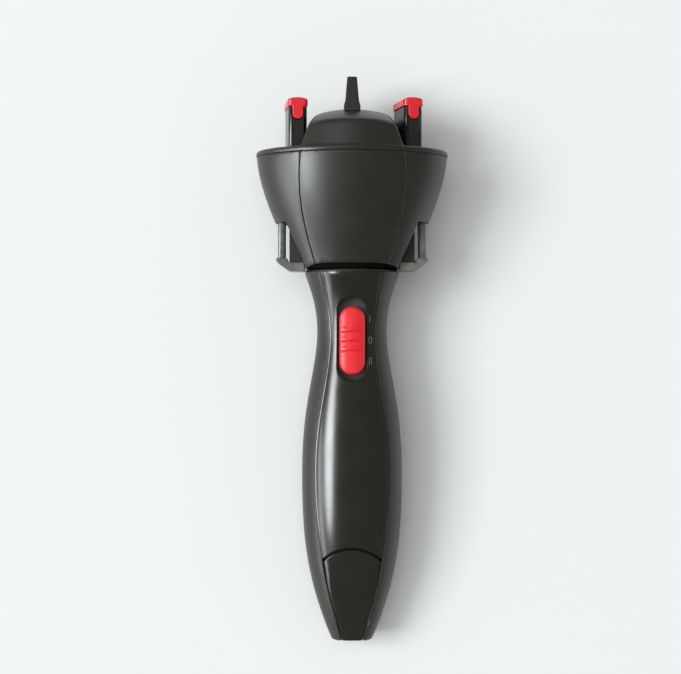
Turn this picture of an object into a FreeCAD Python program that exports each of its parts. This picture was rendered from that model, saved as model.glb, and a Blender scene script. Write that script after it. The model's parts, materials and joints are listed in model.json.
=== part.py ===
import FreeCAD, Part
import Sketcher
import math
import os
import re
from FreeCAD import Placement, Rotation, Vector

# Automatic hair braider, in millimetres.
# Everything is drawn upright: Z runs up the long axis from the tail of the
# handle (z = 0) to the hooks, the switch faces -Y and X runs to the right.
# At the end every piece gets one common Placement that lays the braider on
# its back, on the rim of the head and the belly of the handle, head to +Y.
# A shape that only cuts or bounds another runs 1 mm or more past its faces.

doc = FreeCAD.newDocument("HairBraider")
sheet = doc.addObject("Spreadsheet::Sheet", "Sizes")

# Stations up the handle: name, height, half width, half depth, half width of
# the front panel.
HANDLE = [
    ("Tail", 0.0, 8.6, 7.0, 4.4),
    ("Heel", 12.0, 13.3, 10.9, 7.6),
    ("Thumb", 25.0, 17.1, 14.2, 10.9),
    ("Arch", 41.0, 20.0, 16.8, 13.5),
    ("Belly", 66.0, 21.4, 18.0, 15.8),
    ("Palm", 92.0, 20.4, 17.5, 14.6),
    ("Finger", 112.0, 17.3, 15.6, 11.3),
    ("Waist", 131.0, 14.9, 14.2, 9.7),
    ("Flare", 147.0, 17.0, 16.4, 11.6),
    ("Brim", 157.0, 20.3, 19.4, 13.8),
]

# Stations up the head: name, height, half width, half depth, half width of
# the middle covers.
HEAD = [
    ("Collar", 158.4, 24.2, 18.9, 14.7),
    ("Low", 168.0, 28.4, 21.6, 17.7),
    ("Lobe", 178.0, 32.8, 24.6, 20.1),
    ("Mid", 190.0, 37.4, 27.6, 21.7),
    ("Rim", 206.0, 40.8, 29.7, 21.3),
]

SIZES = {
    # walls and clearances
    "Wall": 2.0,
    "Fit": 0.15,
    "Gap": 0.3,
    "RunFit": 0.05,
    # thumb rest below the arch: how much lower its surface lies, at both ends
    "ScoopTail": 0.6,
    "ScoopArch": 2.2,
    "ScoopFlat": 1.4,
    "ArchRise": 6.2,
    # switch
    "SwitchZ": 128.5,
    "RecessSide": 0.6,
    "RecessEnd": 1.4,
    "RecessRim": 1.2,
    "PlateY": 10.2,
    "PlateThick": 1.0,
    "SliderWide": 11.2,
    "SliderLong": 28.8,
    "SliderThick": 5.8,
    "SliderRound": 1.4,
    "SliderDrop": 0.7,
    "SliderTravel": 2.0,
    "RibHigh": 0.7,
    "RibPitch": 4.05,
    "KeyWide": 2.6,
    "KeyLong": 4.0,
    "KeyRoom": 0.5,
    "SwitchDeep": 2.8,
    "SwitchWide": 8.4,
    "SwitchLong": 14.0,
    # batteries
    "CellRadius": 7.25,
    "CellLong": 50.5,
    "NubLong": 1.3,
    "NubRadius": 2.7,
    "CellSpacing": 14.8,
    "CellEdge": 0.6,
    "CellZ": 31.5,
    "ContactThick": 0.4,
    "ContactSpring": 2.1,
    "ContactTurns": 3,
    "ContactWide": 10.0,
    "ContactInset": 2.0,
    "TrayThick": 1.5,
    "TrayRail": 8.0,
    "CoverTop": 88.0,
    "CoverY": 2.0,
    # motor and gearbox
    "MotorRadius": 7.8,
    "MotorFlat": 6.0,
    "MotorLong": 25.2,
    "MotorZ": 114.0,
    "BellThick": 2.2,
    "BoxRadius": 12.0,
    "BoxLong": 14.0,
    "LeadRadius": 0.6,
    "LeadSpacing": 8.0,
    "LeadBack": 2.0,
    # neck bearing
    "FlangeRadius": 16.2,
    "SpigotRadius": 12.0,
    "RingWide": 1.6,
    "RingThick": 1.2,
    "BushRadius": 8.0,
    "FloorThick": 2.5,
    # drive
    "ShaftRadius": 2.0,
    "ShaftSeat": 7.0,
    "ShaftShort": 2.0,
    "ShaftRoom": 1.0,
    "ShaftBoss": 2.5,
    "ClipWide": 1.8,
    "ClipThick": 0.6,
    "ClipRoom": 0.95,
    "GearModule": 1.0,
    "SunTeeth": 32,
    "SpindleTeeth": 16,
    "Backlash": 0.16,
    "GearThick": 5.0,
    "SunClear": 0.25,
    "SpindleRadius": 5.0,
    "PivotRadius": 3.0,
    "SpigotDeep": 1.0,
    "SpindleBush": 1.4,
    "BushLip": 1.2,
    # head
    "NeckHalf": 19.4,
    "NeckArch": 1.9,
    "NeckFlat": 15.0,
    "NeckRound": 20.0,
    "NotchZ": 178.0,
    "NotchOut": 28.0,
    "NotchIn": 19.8,
    "ShelfThick": 2.0,
    "DeckZ": 192.3,
    "DeckThick": 2.0,
    "PillarY": 19.9,
    "PillarRadius": 2.4,
    "TopThick": 2.4,
    "TopLip": 0.3,
    "TopEdge": 0.7,
    "DomeHalf": 21.6,
    "DomeTopHalf": 16.2,
    "DomeTopDeep": 24.5,
    "DomeZ": 224.1,
    "DomeCrown": 2.5,
    "DomeRound": 2.4,
    "DomeHollowDeep": 14.5,
    "HookSweep": 10.5,
    "FinWide": 5.8,
    "FinTipWide": 4.0,
    "FinDeep": 34.0,
    "FinTipDeep": 22.0,
    "FinHigh": 13.7,
    "FinChamfer": 1.2,
    "FinSkirt": 0.6,
    "FinSkirtHigh": 2.0,
    # hooks
    "HookTurnLeft": 7.0,
    "HookTurnRight": 14.0,
    "HookWide": 7.9,
    "HookDeep": 18.0,
    "HookRound": 1.8,
    "SleeveTop": 226.9,
    "CapThick": 3.8,
    "CapCrown": 0.9,
    "CapOver": 0.35,
    "CapRound": 1.0,
    "TongueWide": 4.6,
    "TongueLong": 5.2,
    "TongueDeep": 1.7,
    "TongueClear": 0.3,
    "StemRadius": 1.2,
    "FootRadius": 1.7,
    "FootThick": 2.2,
    # levers
    "LeverTravel": 10.0,
    "WingZ": 157.4,
    "WingThick": 3.6,
    "WingRise": 1.8,
    "WingTip": 1.2,
    "WingIn": 20.1,
    "WingKnee": 26.8,
    "WingOut": 32.2,
    "WingDeep": 16.0,
    "WingBelly": 3.5,
    "WingNose": 1.2,
    "BlockIn": 20.6,
    "BlockOut": 26.6,
    "BlockDeep": 15.0,
    "PostX": 30.0,
    "PostWide": 3.3,
    "PostDeep": 8.0,
    "PostClear": 0.8,
    "SpringRadius": 2.1,
    "SpringWire": 0.5,
    "SpringTurns": 7,
    "SpringPacked": 6.3,
    # screws
    "ScrewRadius": 1.0,
    "ScrewHead": 2.0,
    "ScrewHeadThick": 1.5,
    "ScrewLong": 15.5,
    "ScrewCrown": 1.5,
    "ScrewPoint": 1.0,
    "SlotWide": 0.5,
    "SlotLong": 2.4,
    "SlotDeep": 0.825,
    "ScrewX": 8.0,
    "ScrewZ": 99.0,
    "ScrewShort": 4.0,
    "BossRadius": 2.8,
    "RearBossRadius": 3.4,
    "SeatY": 6.5,
    # corner rounding of a narrow bar, as a share of its width
    "BarRound": 0.42,
}

for name, z, wide, deep, seam in HANDLE + HEAD:
    SIZES[name + "Z"] = z
    SIZES[name + "Wide"] = wide
    SIZES[name + "Deep"] = deep
    SIZES[name + "Seam"] = seam

for row, (alias, value) in enumerate(SIZES.items(), start=1):
    sheet.set("A%d" % row, alias)
    sheet.set("B%d" % row, str(value))
    sheet.setAlias("B%d" % row, alias)
doc.recompute()

WORDS = re.compile(r"\b[A-Z][A-Za-z]+\b")


def expression(text):
    """The text with every size's name pointing at its cell."""
    return WORDS.sub(lambda word: ("Sizes." if word.group() in SIZES else "") + word.group(), str(text))


probe = doc.addObject("App::FeaturePython", "Probe")
probe.addProperty("App::PropertyFloat", "Number")
KNOWN = {}


def size(text):
    """The value of an expression of sizes, worked out by the document from the sheet."""
    if text not in KNOWN:
        probe.setExpression("Number", expression(text))
        probe.recompute()
        KNOWN[text] = probe.Number
    return KNOWN[text]


def bind(target, **properties):
    for prop, text in properties.items():
        target.setExpression(prop.replace("__", "."), expression(text))
    return target


def new(kind, name):
    return doc.addObject(kind, name)


def box(name, x0, x1, y0, y1, z0, z1):
    item = new("Part::Box", name)
    bind(item, Length="(%s) - (%s)" % (x1, x0), Width="(%s) - (%s)" % (y1, y0))
    bind(item, Height="(%s) - (%s)" % (z1, z0))
    return bind(item, Placement__Base__x=x0, Placement__Base__y=y0, Placement__Base__z=z0)


def rod(name, radius, z0, z1, x="0", y="0"):
    """A cylinder along Z."""
    item = new("Part::Cylinder", name)
    bind(item, Radius=radius, Height="(%s) - (%s)" % (z1, z0))
    return bind(item, Placement__Base__x=x, Placement__Base__y=y, Placement__Base__z=z0)


def pin(name, radius, y0, y1, x, z):
    """A cylinder along Y."""
    item = new("Part::Cylinder", name)
    item.Placement = Placement(Vector(), Rotation(Vector(1, 0, 0), -90))
    bind(item, Radius=radius, Height="(%s) - (%s)" % (y1, y0))
    return bind(item, Placement__Base__x=x, Placement__Base__y=y0, Placement__Base__z=z)


def ball(name, radius, z):
    """A sphere on the Z axis, with its poles along Y."""
    item = new("Part::Sphere", name)
    item.Placement = Placement(Vector(), Rotation(Vector(1, 0, 0), -90))
    return bind(item, Radius=radius, Placement__Base__z=z)


def bow(half, rise):
    """The radius of the circle whose arc over a half width has this rise."""
    return "((%s) * (%s) + (%s) * (%s)) / (2 * (%s))" % (half, half, rise, rise, rise)


def fuse(name, *items):
    item = new("Part::MultiFuse", name)
    item.Shapes = list(items)
    return item


def common(name, *items):
    item = new("Part::MultiCommon", name)
    item.Shapes = list(items)
    return item


def cut(name, base, *tools):
    item = new("Part::Cut", name)
    item.Base = base
    item.Tool = tools[0] if len(tools) == 1 else fuse(name + "Tools", *tools)
    return item


def mirror(name, source, normal=Vector(1, 0, 0)):
    """The same thing on the other side of a plane through the origin."""
    item = new("Part::Mirroring", name)
    item.Source = source
    item.Normal = normal
    return item


def ovals(name, rows, ruled=False):
    """A solid through ellipses: rows of height, half width and half depth."""
    sections = []
    for number, (z, wide, deep) in enumerate(rows):
        oval = new("Part::Ellipse", "%sOval%d" % (name, number))
        bind(oval, MajorRadius=wide, MinorRadius=deep, Placement__Base__z=z)
        sections.append(oval)
    item = new("Part::Loft", name)
    item.Sections = sections
    item.Solid = True
    item.Ruled = ruled
    return item


def slab(name, rows, y0, y1, ruled=False):
    """A solid between two depths whose half width follows rows of height and half width."""
    sections = []
    for number, (z, wide) in enumerate(rows):
        plane = new("Part::Plane", "%sPlane%d" % (name, number))
        bind(plane, Length="2 * (%s)" % wide, Width="(%s) - (%s)" % (y1, y0))
        bind(plane, Placement__Base__x="-(%s)" % wide, Placement__Base__y=y0, Placement__Base__z=z)
        sections.append(plane)
    item = new("Part::Loft", name)
    item.Sections = sections
    item.Solid = True
    item.Ruled = ruled
    return item


def stadium(name, wide, tall, y0, y1, z):
    """A flat oval with straight sides, standing on XZ and reaching from y0 to y1."""
    half = "(%s) / 2" % wide
    reach = "((%s) - (%s)) / 2" % (tall, wide)
    return fuse(
        name,
        box(name + "Mid", "-" + half, half, y0, y1, "%s - %s" % (z, reach), "%s + %s" % (z, reach)),
        pin(name + "Top", half, y0, y1, "0", "%s + %s" % (z, reach)),
        pin(name + "Low", half, y0, y1, "0", "%s - %s" % (z, reach)),
    )


def body(name):
    return new("PartDesign::Body", name)


def origin_plane(owner, role):
    return [item for item in owner.Origin.OriginFeatures if item.Role == role][0]


def outline(owner, name, role, points):
    """A closed sketch of straight lines whose corners are bound to the sheet."""
    sketch = owner.newObject("Sketcher::SketchObject", name)
    sketch.AttachmentSupport = (origin_plane(owner, role), [""])
    sketch.MapMode = "FlatFace"
    values = [(size(x), size(y)) for x, y in points]
    count = len(points)
    for number in range(count):
        start = Vector(*values[number], 0)
        end = Vector(*values[(number + 1) % count], 0)
        sketch.addGeometry(Part.LineSegment(start, end))
    for number in range(count):
        sketch.addConstraint(Sketcher.Constraint("Coincident", number, 2, (number + 1) % count, 1))
    for number, (x, y) in enumerate(points):
        for kind, text, value in (("X", x, values[number][0]), ("Y", y, values[number][1])):
            rule = Sketcher.Constraint("Distance" + kind, -1, 1, number, 1, value)
            place = sketch.addConstraint(rule)
            label = "%s%d" % (kind.lower(), number)
            sketch.renameConstraint(place, label)
            sketch.setExpression("Constraints." + label, expression(text))
    return sketch


def turned(name, points):
    """A body of revolution about Z: corners of radius and height."""
    owner = body(name)
    sketch = outline(owner, name + "Outline", "XZ_Plane", points)
    spin = owner.newObject("PartDesign::Revolution", name + "Turn")
    spin.Profile = sketch
    spin.ReferenceAxis = (sketch, ["V_Axis"])
    spin.Angle = 360.0
    return owner


def padded(name, role, points, length):
    """A body padded to both sides of one of its origin planes."""
    owner = body(name)
    sketch = outline(owner, name + "Outline", role, points)
    pad = owner.newObject("PartDesign::Pad", name + "Pad")
    pad.Profile = sketch
    pad.Midplane = True
    bind(pad, Length=length)
    return owner


def edges_where(shape, test):
    return ["Edge%d" % (number + 1) for number, edge in enumerate(shape.Edges) if test(edge)]


def rounded(owner, name, radius, test):
    """Round the edges of a body's tip that pass the test."""
    doc.recompute()
    base = owner.Tip
    item = owner.newObject("PartDesign::Fillet", name)
    item.Base = (base, edges_where(base.Shape, test))
    bind(item, Radius=radius)
    return item


PIECES = []


def held(item):
    """The same shape in a holder that is free to take a Placement of its own."""
    holder = new("Part::Compound", item.Name + "Held")
    holder.Links = [item]
    return holder


def piece(item, label, place=Placement()):
    """Name a finished piece and remember where it sits on the upright braider."""
    item.Label = label
    PIECES.append((item, place))
    return item


def both_sides(item, label):
    """A piece drawn on the right, and its mirror image on the left."""
    piece(held(item), label + "_right")
    piece(mirror(item.Name + "Left", item), label + "_left")


# ---------------------------------------------------------------- handle shells

handle_rows = [(n + "Z", n + "Wide", n + "Deep") for n, z, wide, deep, seam in HANDLE]
handle_seams = [(n + "Z", n + "Seam") for n, z, wide, deep, seam in HANDLE]


def inside(rows, margin):
    return [(z, "%s - (%s)" % (wide, margin), "%s - (%s)" % (deep, margin)) for z, wide, deep in rows]


handle_solid = ovals("HandleSolid", handle_rows)
hollow_rows = inside(handle_rows, "Wall")
hollow_rows[0] = ("TailZ + Wall",) + tuple("%s - Wall / 2" % text for text in hollow_rows[0][1:])
handle_hollow = ovals("HandleHollow", hollow_rows)

# The thumb rest is a shallower surface below an arched step.
scoop_depth = "ScoopTail - (ScoopArch - ScoopTail) * %sZ / ArchZ"
scoop_rows = [
    ("TailZ - 1", "TailWide * ScoopFlat", "TailDeep - ScoopTail"),
    ("HeelZ", "HeelWide * ScoopFlat", "HeelDeep - " + scoop_depth % "Heel"),
    ("ThumbZ", "ThumbWide * ScoopFlat", "ThumbDeep - " + scoop_depth % "Thumb"),
    ("ArchZ + Wall + 1", "ArchWide * ScoopFlat", "ArchDeep - ScoopArch"),
]
scoop_core = ovals("ScoopCore", scoop_rows)
arch_side = "ArchZ - ArchRise"
arch_radius = bow("ArchSeam", "ArchRise")
scoop_front = common(
    "ScoopFront",
    box("ScoopReach", "-FinDeep", "FinDeep", "-FinDeep", "0", "TailZ - 1", "ArchZ + 1"),
    fuse(
        "ScoopWindow",
        pin("ScoopArchPin", arch_radius, "-FinDeep", "0", "0", "ArchZ - (%s)" % arch_radius),
        box("ScoopBelow", "-FinDeep", "FinDeep", "-FinDeep", "0", "TailZ - 2", arch_side),
    ),
)
scoop = cut("Scoop", scoop_front, scoop_core)

recess_wide = "SliderWide + 2 * RecessSide"
recess_long = "SliderLong + 2 * (SliderTravel + RecessEnd)"
recess = stadium("Recess", recess_wide, recess_long, "-FinDeep", "0", "SwitchZ")
collar_wide = recess_wide + " + 2 * RecessRim"
collar_long = recess_long + " + 2 * RecessRim"
recess_collar = stadium("RecessCollar", collar_wide, collar_long, "-FinDeep", "-PlateY", "SwitchZ")
thumb_core = ovals("ThumbCore", inside(scoop_rows, "Wall"))
thumb_block = cut(
    "ThumbBlock",
    box("ThumbReach", "-FinDeep", "FinDeep", "-FinDeep", "0", "TailZ - 0.5", "ArchZ + Wall"),
    thumb_core,
)
front_hollow = cut("FrontHollow", handle_hollow, recess_collar, thumb_block)

panel_rows = [("TailZ - 1", "TailSeam")] + handle_seams[1:-1] + [("BrimZ + 1", "BrimSeam")]
panel = slab("Panel", panel_rows, "-FinDeep", "0")
panel_room = slab("PanelRoom", [(z, wide + " + Fit") for z, wide in panel_rows], "-FinDeep", "0")

carved = cut("HandleCarved", handle_solid, scoop)
front_boss = [pin("FrontBoss%d" % n, "BossRadius", "-FinDeep", "-Fit", x, "ScrewZ")
              for n, x in enumerate(("ScrewX", "-ScrewX"))]
front_bore = [pin("FrontBore%d" % n, "ScrewRadius", "SeatY - ScrewLong - 1", "0", x, "ScrewZ")
              for n, x in enumerate(("ScrewX", "-ScrewX"))]
front_skin = cut("FrontSkin", common("FrontPanel", carved, panel), front_hollow)
front_bosses = common("FrontBosses", handle_solid, fuse("FrontBossPair", *front_boss))
front_shell = cut("FrontShell", fuse("FrontWhole", front_skin, front_bosses), recess, *front_bore)
piece(front_shell, "front_shell")

cover_room = box("CoverRoom", "-FinDeep", "FinDeep", "CoverY - Fit", "FinDeep",
                 "TailZ - 1", "CoverTop + Fit")
shell_wall = cut("HandleWall", carved, handle_hollow)
back_wall = cut("BackWall", shell_wall, panel_room, cover_room)
rear_boss = [pin("RearBoss%d" % n, "RearBossRadius", "0", "FinDeep", x, "ScrewZ")
             for n, x in enumerate(("ScrewX", "-ScrewX"))]
rear_bosses = common("RearBosses", handle_solid, fuse("RearBossPair", *rear_boss))
rear_bore = [pin("RearBore%d" % n, "ScrewRadius + Fit", "-1", "FinDeep", x, "ScrewZ")
             for n, x in enumerate(("ScrewX", "-ScrewX"))]
rear_seat = [pin("RearSeat%d" % n, "ScrewHead + Fit", "SeatY", "FinDeep", x, "ScrewZ")
             for n, x in enumerate(("ScrewX", "-ScrewX"))]
rear_shell = cut("RearShell", fuse("RearWhole", back_wall, rear_bosses), *rear_bore, *rear_seat)
piece(rear_shell, "rear_shell")

cover_reach = box("CoverReach", "-FinDeep", "FinDeep", "CoverY", "FinDeep", "TailZ - 1", "CoverTop")
battery_cover = common("BatteryCover", shell_wall, cover_reach)
piece(battery_cover, "battery_cover")


def screw(name, shank, head, head_thick, length):
    """A pan head screw along +Z with its head below z = 0."""
    owner = turned(name, [
        ("0", "-(%s)" % head_thick),
        ("ScrewCrown", "-(%s)" % head_thick),
        (head, "-(%s) / 2" % head_thick),
        (head, "0"),
        (shank, "0"),
        (shank, "%s - ScrewPoint" % length),
        ("0", length),
    ])
    slot = outline(owner, name + "Cross", "XZ_Plane", [
        ("-SlotWide / 2", "-(%s) - 1" % head_thick),
        ("SlotWide / 2", "-(%s) - 1" % head_thick),
        ("SlotWide / 2", "SlotDeep - (%s)" % head_thick),
        ("-SlotWide / 2", "SlotDeep - (%s)" % head_thick),
    ])
    pocket = owner.newObject("PartDesign::Pocket", name + "Slot")
    pocket.Profile = slot
    pocket.Midplane = True
    bind(pocket, Length="SlotLong")
    return owner


shell_screw = screw("ShellScrew", "ScrewRadius - RunFit", "ScrewHead", "ScrewHeadThick", "ScrewLong")
shell_pair = new("Part::Compound", "ShellScrewPair")
turned_screws = []
for number, side in enumerate((1, -1)):
    copy = new("App::Link", "ShellScrewCopy%d" % number)
    copy.LinkedObject = shell_screw
    turn = Rotation(Vector(1, 0, 0), 90)
    copy.Placement = Placement(Vector(side * size("ScrewX"), size("SeatY"), size("ScrewZ")), turn)
    turned_screws.append(copy)
shell_pair.Links = turned_screws
piece(shell_pair, "shell_screws")

# ---------------------------------------------------------------- switch

key_half = "KeyWide / 2 + KeyRoom"
key_reach = "KeyLong / 2 + SliderTravel + SliderDrop + KeyRoom"
key_low = "SwitchZ - (%s)" % key_reach
key_high = "SwitchZ + " + key_reach
switch_plate = cut(
    "SwitchPlate",
    common(
        "SwitchPlateBlank",
        stadium("PlateOval", collar_wide, collar_long, "-PlateY", "-PlateY + PlateThick", "SwitchZ"),
        ovals("PlateRoom", inside(hollow_rows, "Gap")),
    ),
    box("PlateSlot", "-(%s)" % key_half, key_half, "-FinDeep", "0", key_low, key_high),
)
piece(switch_plate, "switch_plate")

can_front = "-PlateY + PlateThick"
switch_can = cut(
    "SwitchCan",
    box("SwitchCanBlank", "-SwitchWide / 2", "SwitchWide / 2", can_front, can_front + " + SwitchDeep",
        "SwitchZ - SwitchLong / 2", "SwitchZ + SwitchLong / 2"),
    box("SwitchCanSlot", "-(%s)" % key_half, key_half, "-FinDeep", can_front + " + SwitchDeep / 2",
        key_low, key_high),
)
piece(switch_can, "slide_switch")

slider = body("Slider")
slider_sketch = slider.newObject("Sketcher::SketchObject", "SliderOutline")
slider_sketch.AttachmentSupport = (origin_plane(slider, "XY_Plane"), [""])
slider_sketch.MapMode = "FlatFace"
end_radius = size("SliderWide / 2")
end_y = size("(SliderLong - SliderWide) / 2")
corners = [Vector(side * end_radius, end * end_y, 0) for side, end in ((1, -1), (1, 1), (-1, 1), (-1, -1))]
top_circle = Part.Circle(Vector(0, end_y, 0), Vector(0, 0, 1), end_radius)
low_circle = Part.Circle(Vector(0, -end_y, 0), Vector(0, 0, 1), end_radius)
slider_sketch.addGeometry(Part.LineSegment(corners[0], corners[1]))
slider_sketch.addGeometry(Part.ArcOfCircle(top_circle, 0, math.pi))
slider_sketch.addGeometry(Part.LineSegment(corners[2], corners[3]))
slider_sketch.addGeometry(Part.ArcOfCircle(low_circle, math.pi, 2 * math.pi))
for number in range(4):
    slider_sketch.addConstraint(Sketcher.Constraint("Tangent", number, 2, (number + 1) % 4, 1))
slider_sketch.addConstraint(Sketcher.Constraint("Symmetric", 1, 3, 3, 3, -1, 1))
slider_sketch.addConstraint(Sketcher.Constraint("Vertical", 0))
rule = slider_sketch.addConstraint(Sketcher.Constraint("Radius", 1, end_radius))
slider_sketch.renameConstraint(rule, "EndRadius")
slider_sketch.setExpression("Constraints.EndRadius", expression("SliderWide / 2"))
rule = slider_sketch.addConstraint(Sketcher.Constraint("DistanceY", 3, 3, 1, 3, 2 * end_y))
slider_sketch.renameConstraint(rule, "Straight")
slider_sketch.setExpression("Constraints.Straight", expression("SliderLong - SliderWide"))
slider_pad = slider.newObject("PartDesign::Pad", "SliderPad")
slider_pad.Profile = slider_sketch
bind(slider_pad, Length="SliderThick")
top_of_slider = size("SliderThick")
rounded(slider, "SliderRounds", "SliderRound", lambda edge: edge.BoundBox.ZMin > top_of_slider - 0.01)
slider_key = outline(slider, "SliderKey", "XY_Plane", [
    ("-KeyWide / 2", "-KeyLong / 2"),
    ("KeyWide / 2", "-KeyLong / 2"),
    ("KeyWide / 2", "KeyLong / 2"),
    ("-KeyWide / 2", "KeyLong / 2"),
])
key_pad = slider.newObject("PartDesign::Pad", "SliderKeyPad")
key_pad.Profile = slider_key
key_pad.Reversed = True
bind(key_pad, Length="Gap + PlateThick + SwitchDeep / 3")
rib_sketch = slider.newObject("Sketcher::SketchObject", "RibOutline")
rib_sketch.AttachmentSupport = (origin_plane(slider, "YZ_Plane"), [""])
rib_sketch.MapMode = "FlatFace"
rib_sketch.addGeometry(Part.Circle(Vector(0, top_of_slider, 0), Vector(0, 0, 1), size("RibHigh")))
rule = rib_sketch.addConstraint(Sketcher.Constraint("Radius", 0, size("RibHigh")))
rib_sketch.renameConstraint(rule, "Bead")
rib_sketch.setExpression("Constraints.Bead", expression("RibHigh"))
rib_sketch.addConstraint(Sketcher.Constraint("PointOnObject", 0, 3, -2))
rule = rib_sketch.addConstraint(Sketcher.Constraint("DistanceY", -1, 1, 0, 3, top_of_slider))
rib_sketch.renameConstraint(rule, "Lift")
rib_sketch.setExpression("Constraints.Lift", expression("SliderThick"))
rib_pad = slider.newObject("PartDesign::Pad", "RibPad")
rib_pad.Profile = rib_sketch
rib_pad.Midplane = True
bind(rib_pad, Length="SliderWide - 2 * SliderRound")
doc.recompute()
rib_row = slider.newObject("PartDesign::LinearPattern", "RibRow")
rib_row.Originals = [rib_pad]
rib_row.Direction = (slider_sketch, ["V_Axis"])
rib_row.Occurrences = 2
bind(rib_row, Length="RibPitch")
slider.Tip = rib_row
doc.recompute()
rib_back = slider.newObject("PartDesign::LinearPattern", "RibRowBack")
rib_back.Originals = [rib_pad]
rib_back.Direction = (slider_sketch, ["V_Axis"])
rib_back.Reversed = True
rib_back.Occurrences = 2
bind(rib_back, Length="RibPitch")
slider.Tip = rib_back
slider_seat = Vector(0, -size("PlateY + Gap"), size("SwitchZ - SliderDrop"))
piece(slider, "switch_slider", Placement(slider_seat, Rotation(Vector(1, 0, 0), 90)))

# ---------------------------------------------------------------- batteries

cell_points = [
    ("0", "0"),
    ("CellRadius - CellEdge", "0"),
    ("CellRadius", "CellEdge"),
    ("CellRadius", "CellLong - NubLong - CellEdge"),
    ("CellRadius - CellEdge", "CellLong - NubLong"),
    ("NubRadius", "CellLong - NubLong"),
    ("NubRadius", "CellLong"),
    ("0", "CellLong"),
]
cell_top = "CellZ + CellLong"
contact_z = "CellZ - ContactSpring"
left_cell = turned("LeftCell", cell_points)
left_seat = Vector(-size("CellSpacing / 2"), 0, size("CellZ"))
piece(left_cell, "battery_left", Placement(left_seat, Rotation()))
right_cell = turned("RightCell", cell_points)
right_seat = Vector(size("CellSpacing / 2"), 0, size(contact_z + " + CellLong"))
piece(right_cell, "battery_right", Placement(right_seat, Rotation(Vector(1, 0, 0), 180)))

tray_room = ovals("TrayRoom", inside(hollow_rows, "Gap"))
tray_low = contact_z + " - ContactThick - TrayThick"
tray_high = cell_top + " + ContactThick + TrayThick"
tray_right = "CellSpacing / 2 + CellRadius"
tray_left = "-(%s)" % tray_right
tray_front = "-CellRadius - Gap"
tray_whole = fuse(
    "TrayWhole",
    box("TrayLow", tray_left, tray_right, "-CellRadius - TrayThick", "CellRadius",
        tray_low, tray_low + " + TrayThick"),
    box("TrayHigh", tray_left, tray_right, "-CellRadius - TrayThick", "CellRadius",
        tray_high + " - TrayThick", tray_high),
    box("TrayFront", tray_left, tray_right, tray_front + " - TrayThick", tray_front, tray_low, tray_high),
)
tray_window = box("TrayWindow", "-CellRadius", "CellRadius", "-FinDeep", "-CellRadius",
                  "CellZ + TrayRail", cell_top + " - TrayRail")
tray_frame = common("TrayInside", tray_room, cut("TrayFrame", tray_whole, tray_window))
tray = cut("Tray", tray_frame, thumb_block)
piece(tray, "battery_tray")
contact_low = box("ContactLow", tray_left + " + ContactInset", tray_right + " - ContactInset",
                  "ContactInset - CellRadius", "CellRadius - ContactInset",
                  contact_z + " - ContactThick", contact_z)
piece(held(contact_low), "contact_lower")
for name, x in (("left", "-CellSpacing / 2"), ("right", "CellSpacing / 2")):
    pad = box("Contact" + name.title(), x + " - ContactWide / 2", x + " + ContactWide / 2",
              "-ContactWide / 2", "ContactWide / 2", cell_top, cell_top + " + ContactThick")
    piece(held(pad), "contact_upper_" + name)


def coil(name, radius, wire, turns, height):
    """A closed helix of round wire, standing on z = 0."""
    owner = body(name)
    sketch = owner.newObject("Sketcher::SketchObject", name + "Wire")
    sketch.AttachmentSupport = (origin_plane(owner, "XZ_Plane"), [""])
    sketch.MapMode = "FlatFace"
    lift = size(wire) / 2
    sketch.addGeometry(Part.Circle(Vector(size(radius), lift, 0), Vector(0, 0, 1), lift))
    for label, rule, text in (
        ("Mean", Sketcher.Constraint("DistanceX", -1, 1, 0, 3, size(radius)), radius),
        ("Lift", Sketcher.Constraint("DistanceY", -1, 1, 0, 3, lift), "(%s) / 2" % wire),
        ("Wire", Sketcher.Constraint("Radius", 0, lift), "(%s) / 2" % wire),
    ):
        place = sketch.addConstraint(rule)
        sketch.renameConstraint(place, label)
        sketch.setExpression("Constraints." + label, expression(text))
    helix = owner.newObject("PartDesign::AdditiveHelix", name + "Helix")
    helix.Profile = sketch
    helix.ReferenceAxis = (sketch, ["V_Axis"])
    helix.Mode = 2
    bind(helix, Height="(%s) - (%s)" % (height, wire), Turns=turns)
    return owner


spring_low = coil("CellSpringLow", "CellRadius / 2", "ContactThick", "ContactTurns", "ContactSpring")
piece(spring_low, "battery_spring_left",
      Placement(Vector(-size("CellSpacing / 2"), 0, size(contact_z)), Rotation()))
spring_high = coil("CellSpringHigh", "CellRadius / 2", "ContactThick", "ContactTurns", "ContactSpring")
piece(spring_high, "battery_spring_right",
      Placement(Vector(size("CellSpacing / 2"), 0, size(cell_top + " - ContactSpring")), Rotation()))

# ---------------------------------------------------------------- motor and gearbox

motor_top = "MotorZ + MotorLong"
motor = common(
    "Motor",
    rod("MotorRound", "MotorRadius", "MotorZ", motor_top),
    box("MotorFlats", "-FinDeep", "FinDeep", "-MotorFlat", "MotorFlat", "MotorZ", motor_top),
)
piece(motor, "motor_can")
bell = common(
    "MotorBell",
    rod("BellRound", "MotorRadius - Gap", "MotorZ - BellThick", "MotorZ"),
    box("BellFlats", "-FinDeep", "FinDeep", "Gap - MotorFlat", "MotorFlat - Gap",
        "MotorZ - BellThick", "MotorZ"),
)
piece(bell, "motor_end_cap")
box_top = motor_top + " + BoxLong"
gearbox = cut(
    "Gearbox",
    common(
        "GearboxBlank",
        rod("GearboxRound", "BoxRadius", motor_top, box_top),
        box("GearboxFlats", "-FinDeep", "FinDeep", "-PlateY + PlateThick + Gap", "PlateY - PlateThick - Gap",
            motor_top, box_top),
        ovals("GearboxRoom", inside(hollow_rows, "Gap")),
    ),
    rod("GearboxBore", "ShaftRadius + RunFit", box_top + " - ShaftSeat", box_top + " + 1"),
)
piece(gearbox, "gearbox_housing")
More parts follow.
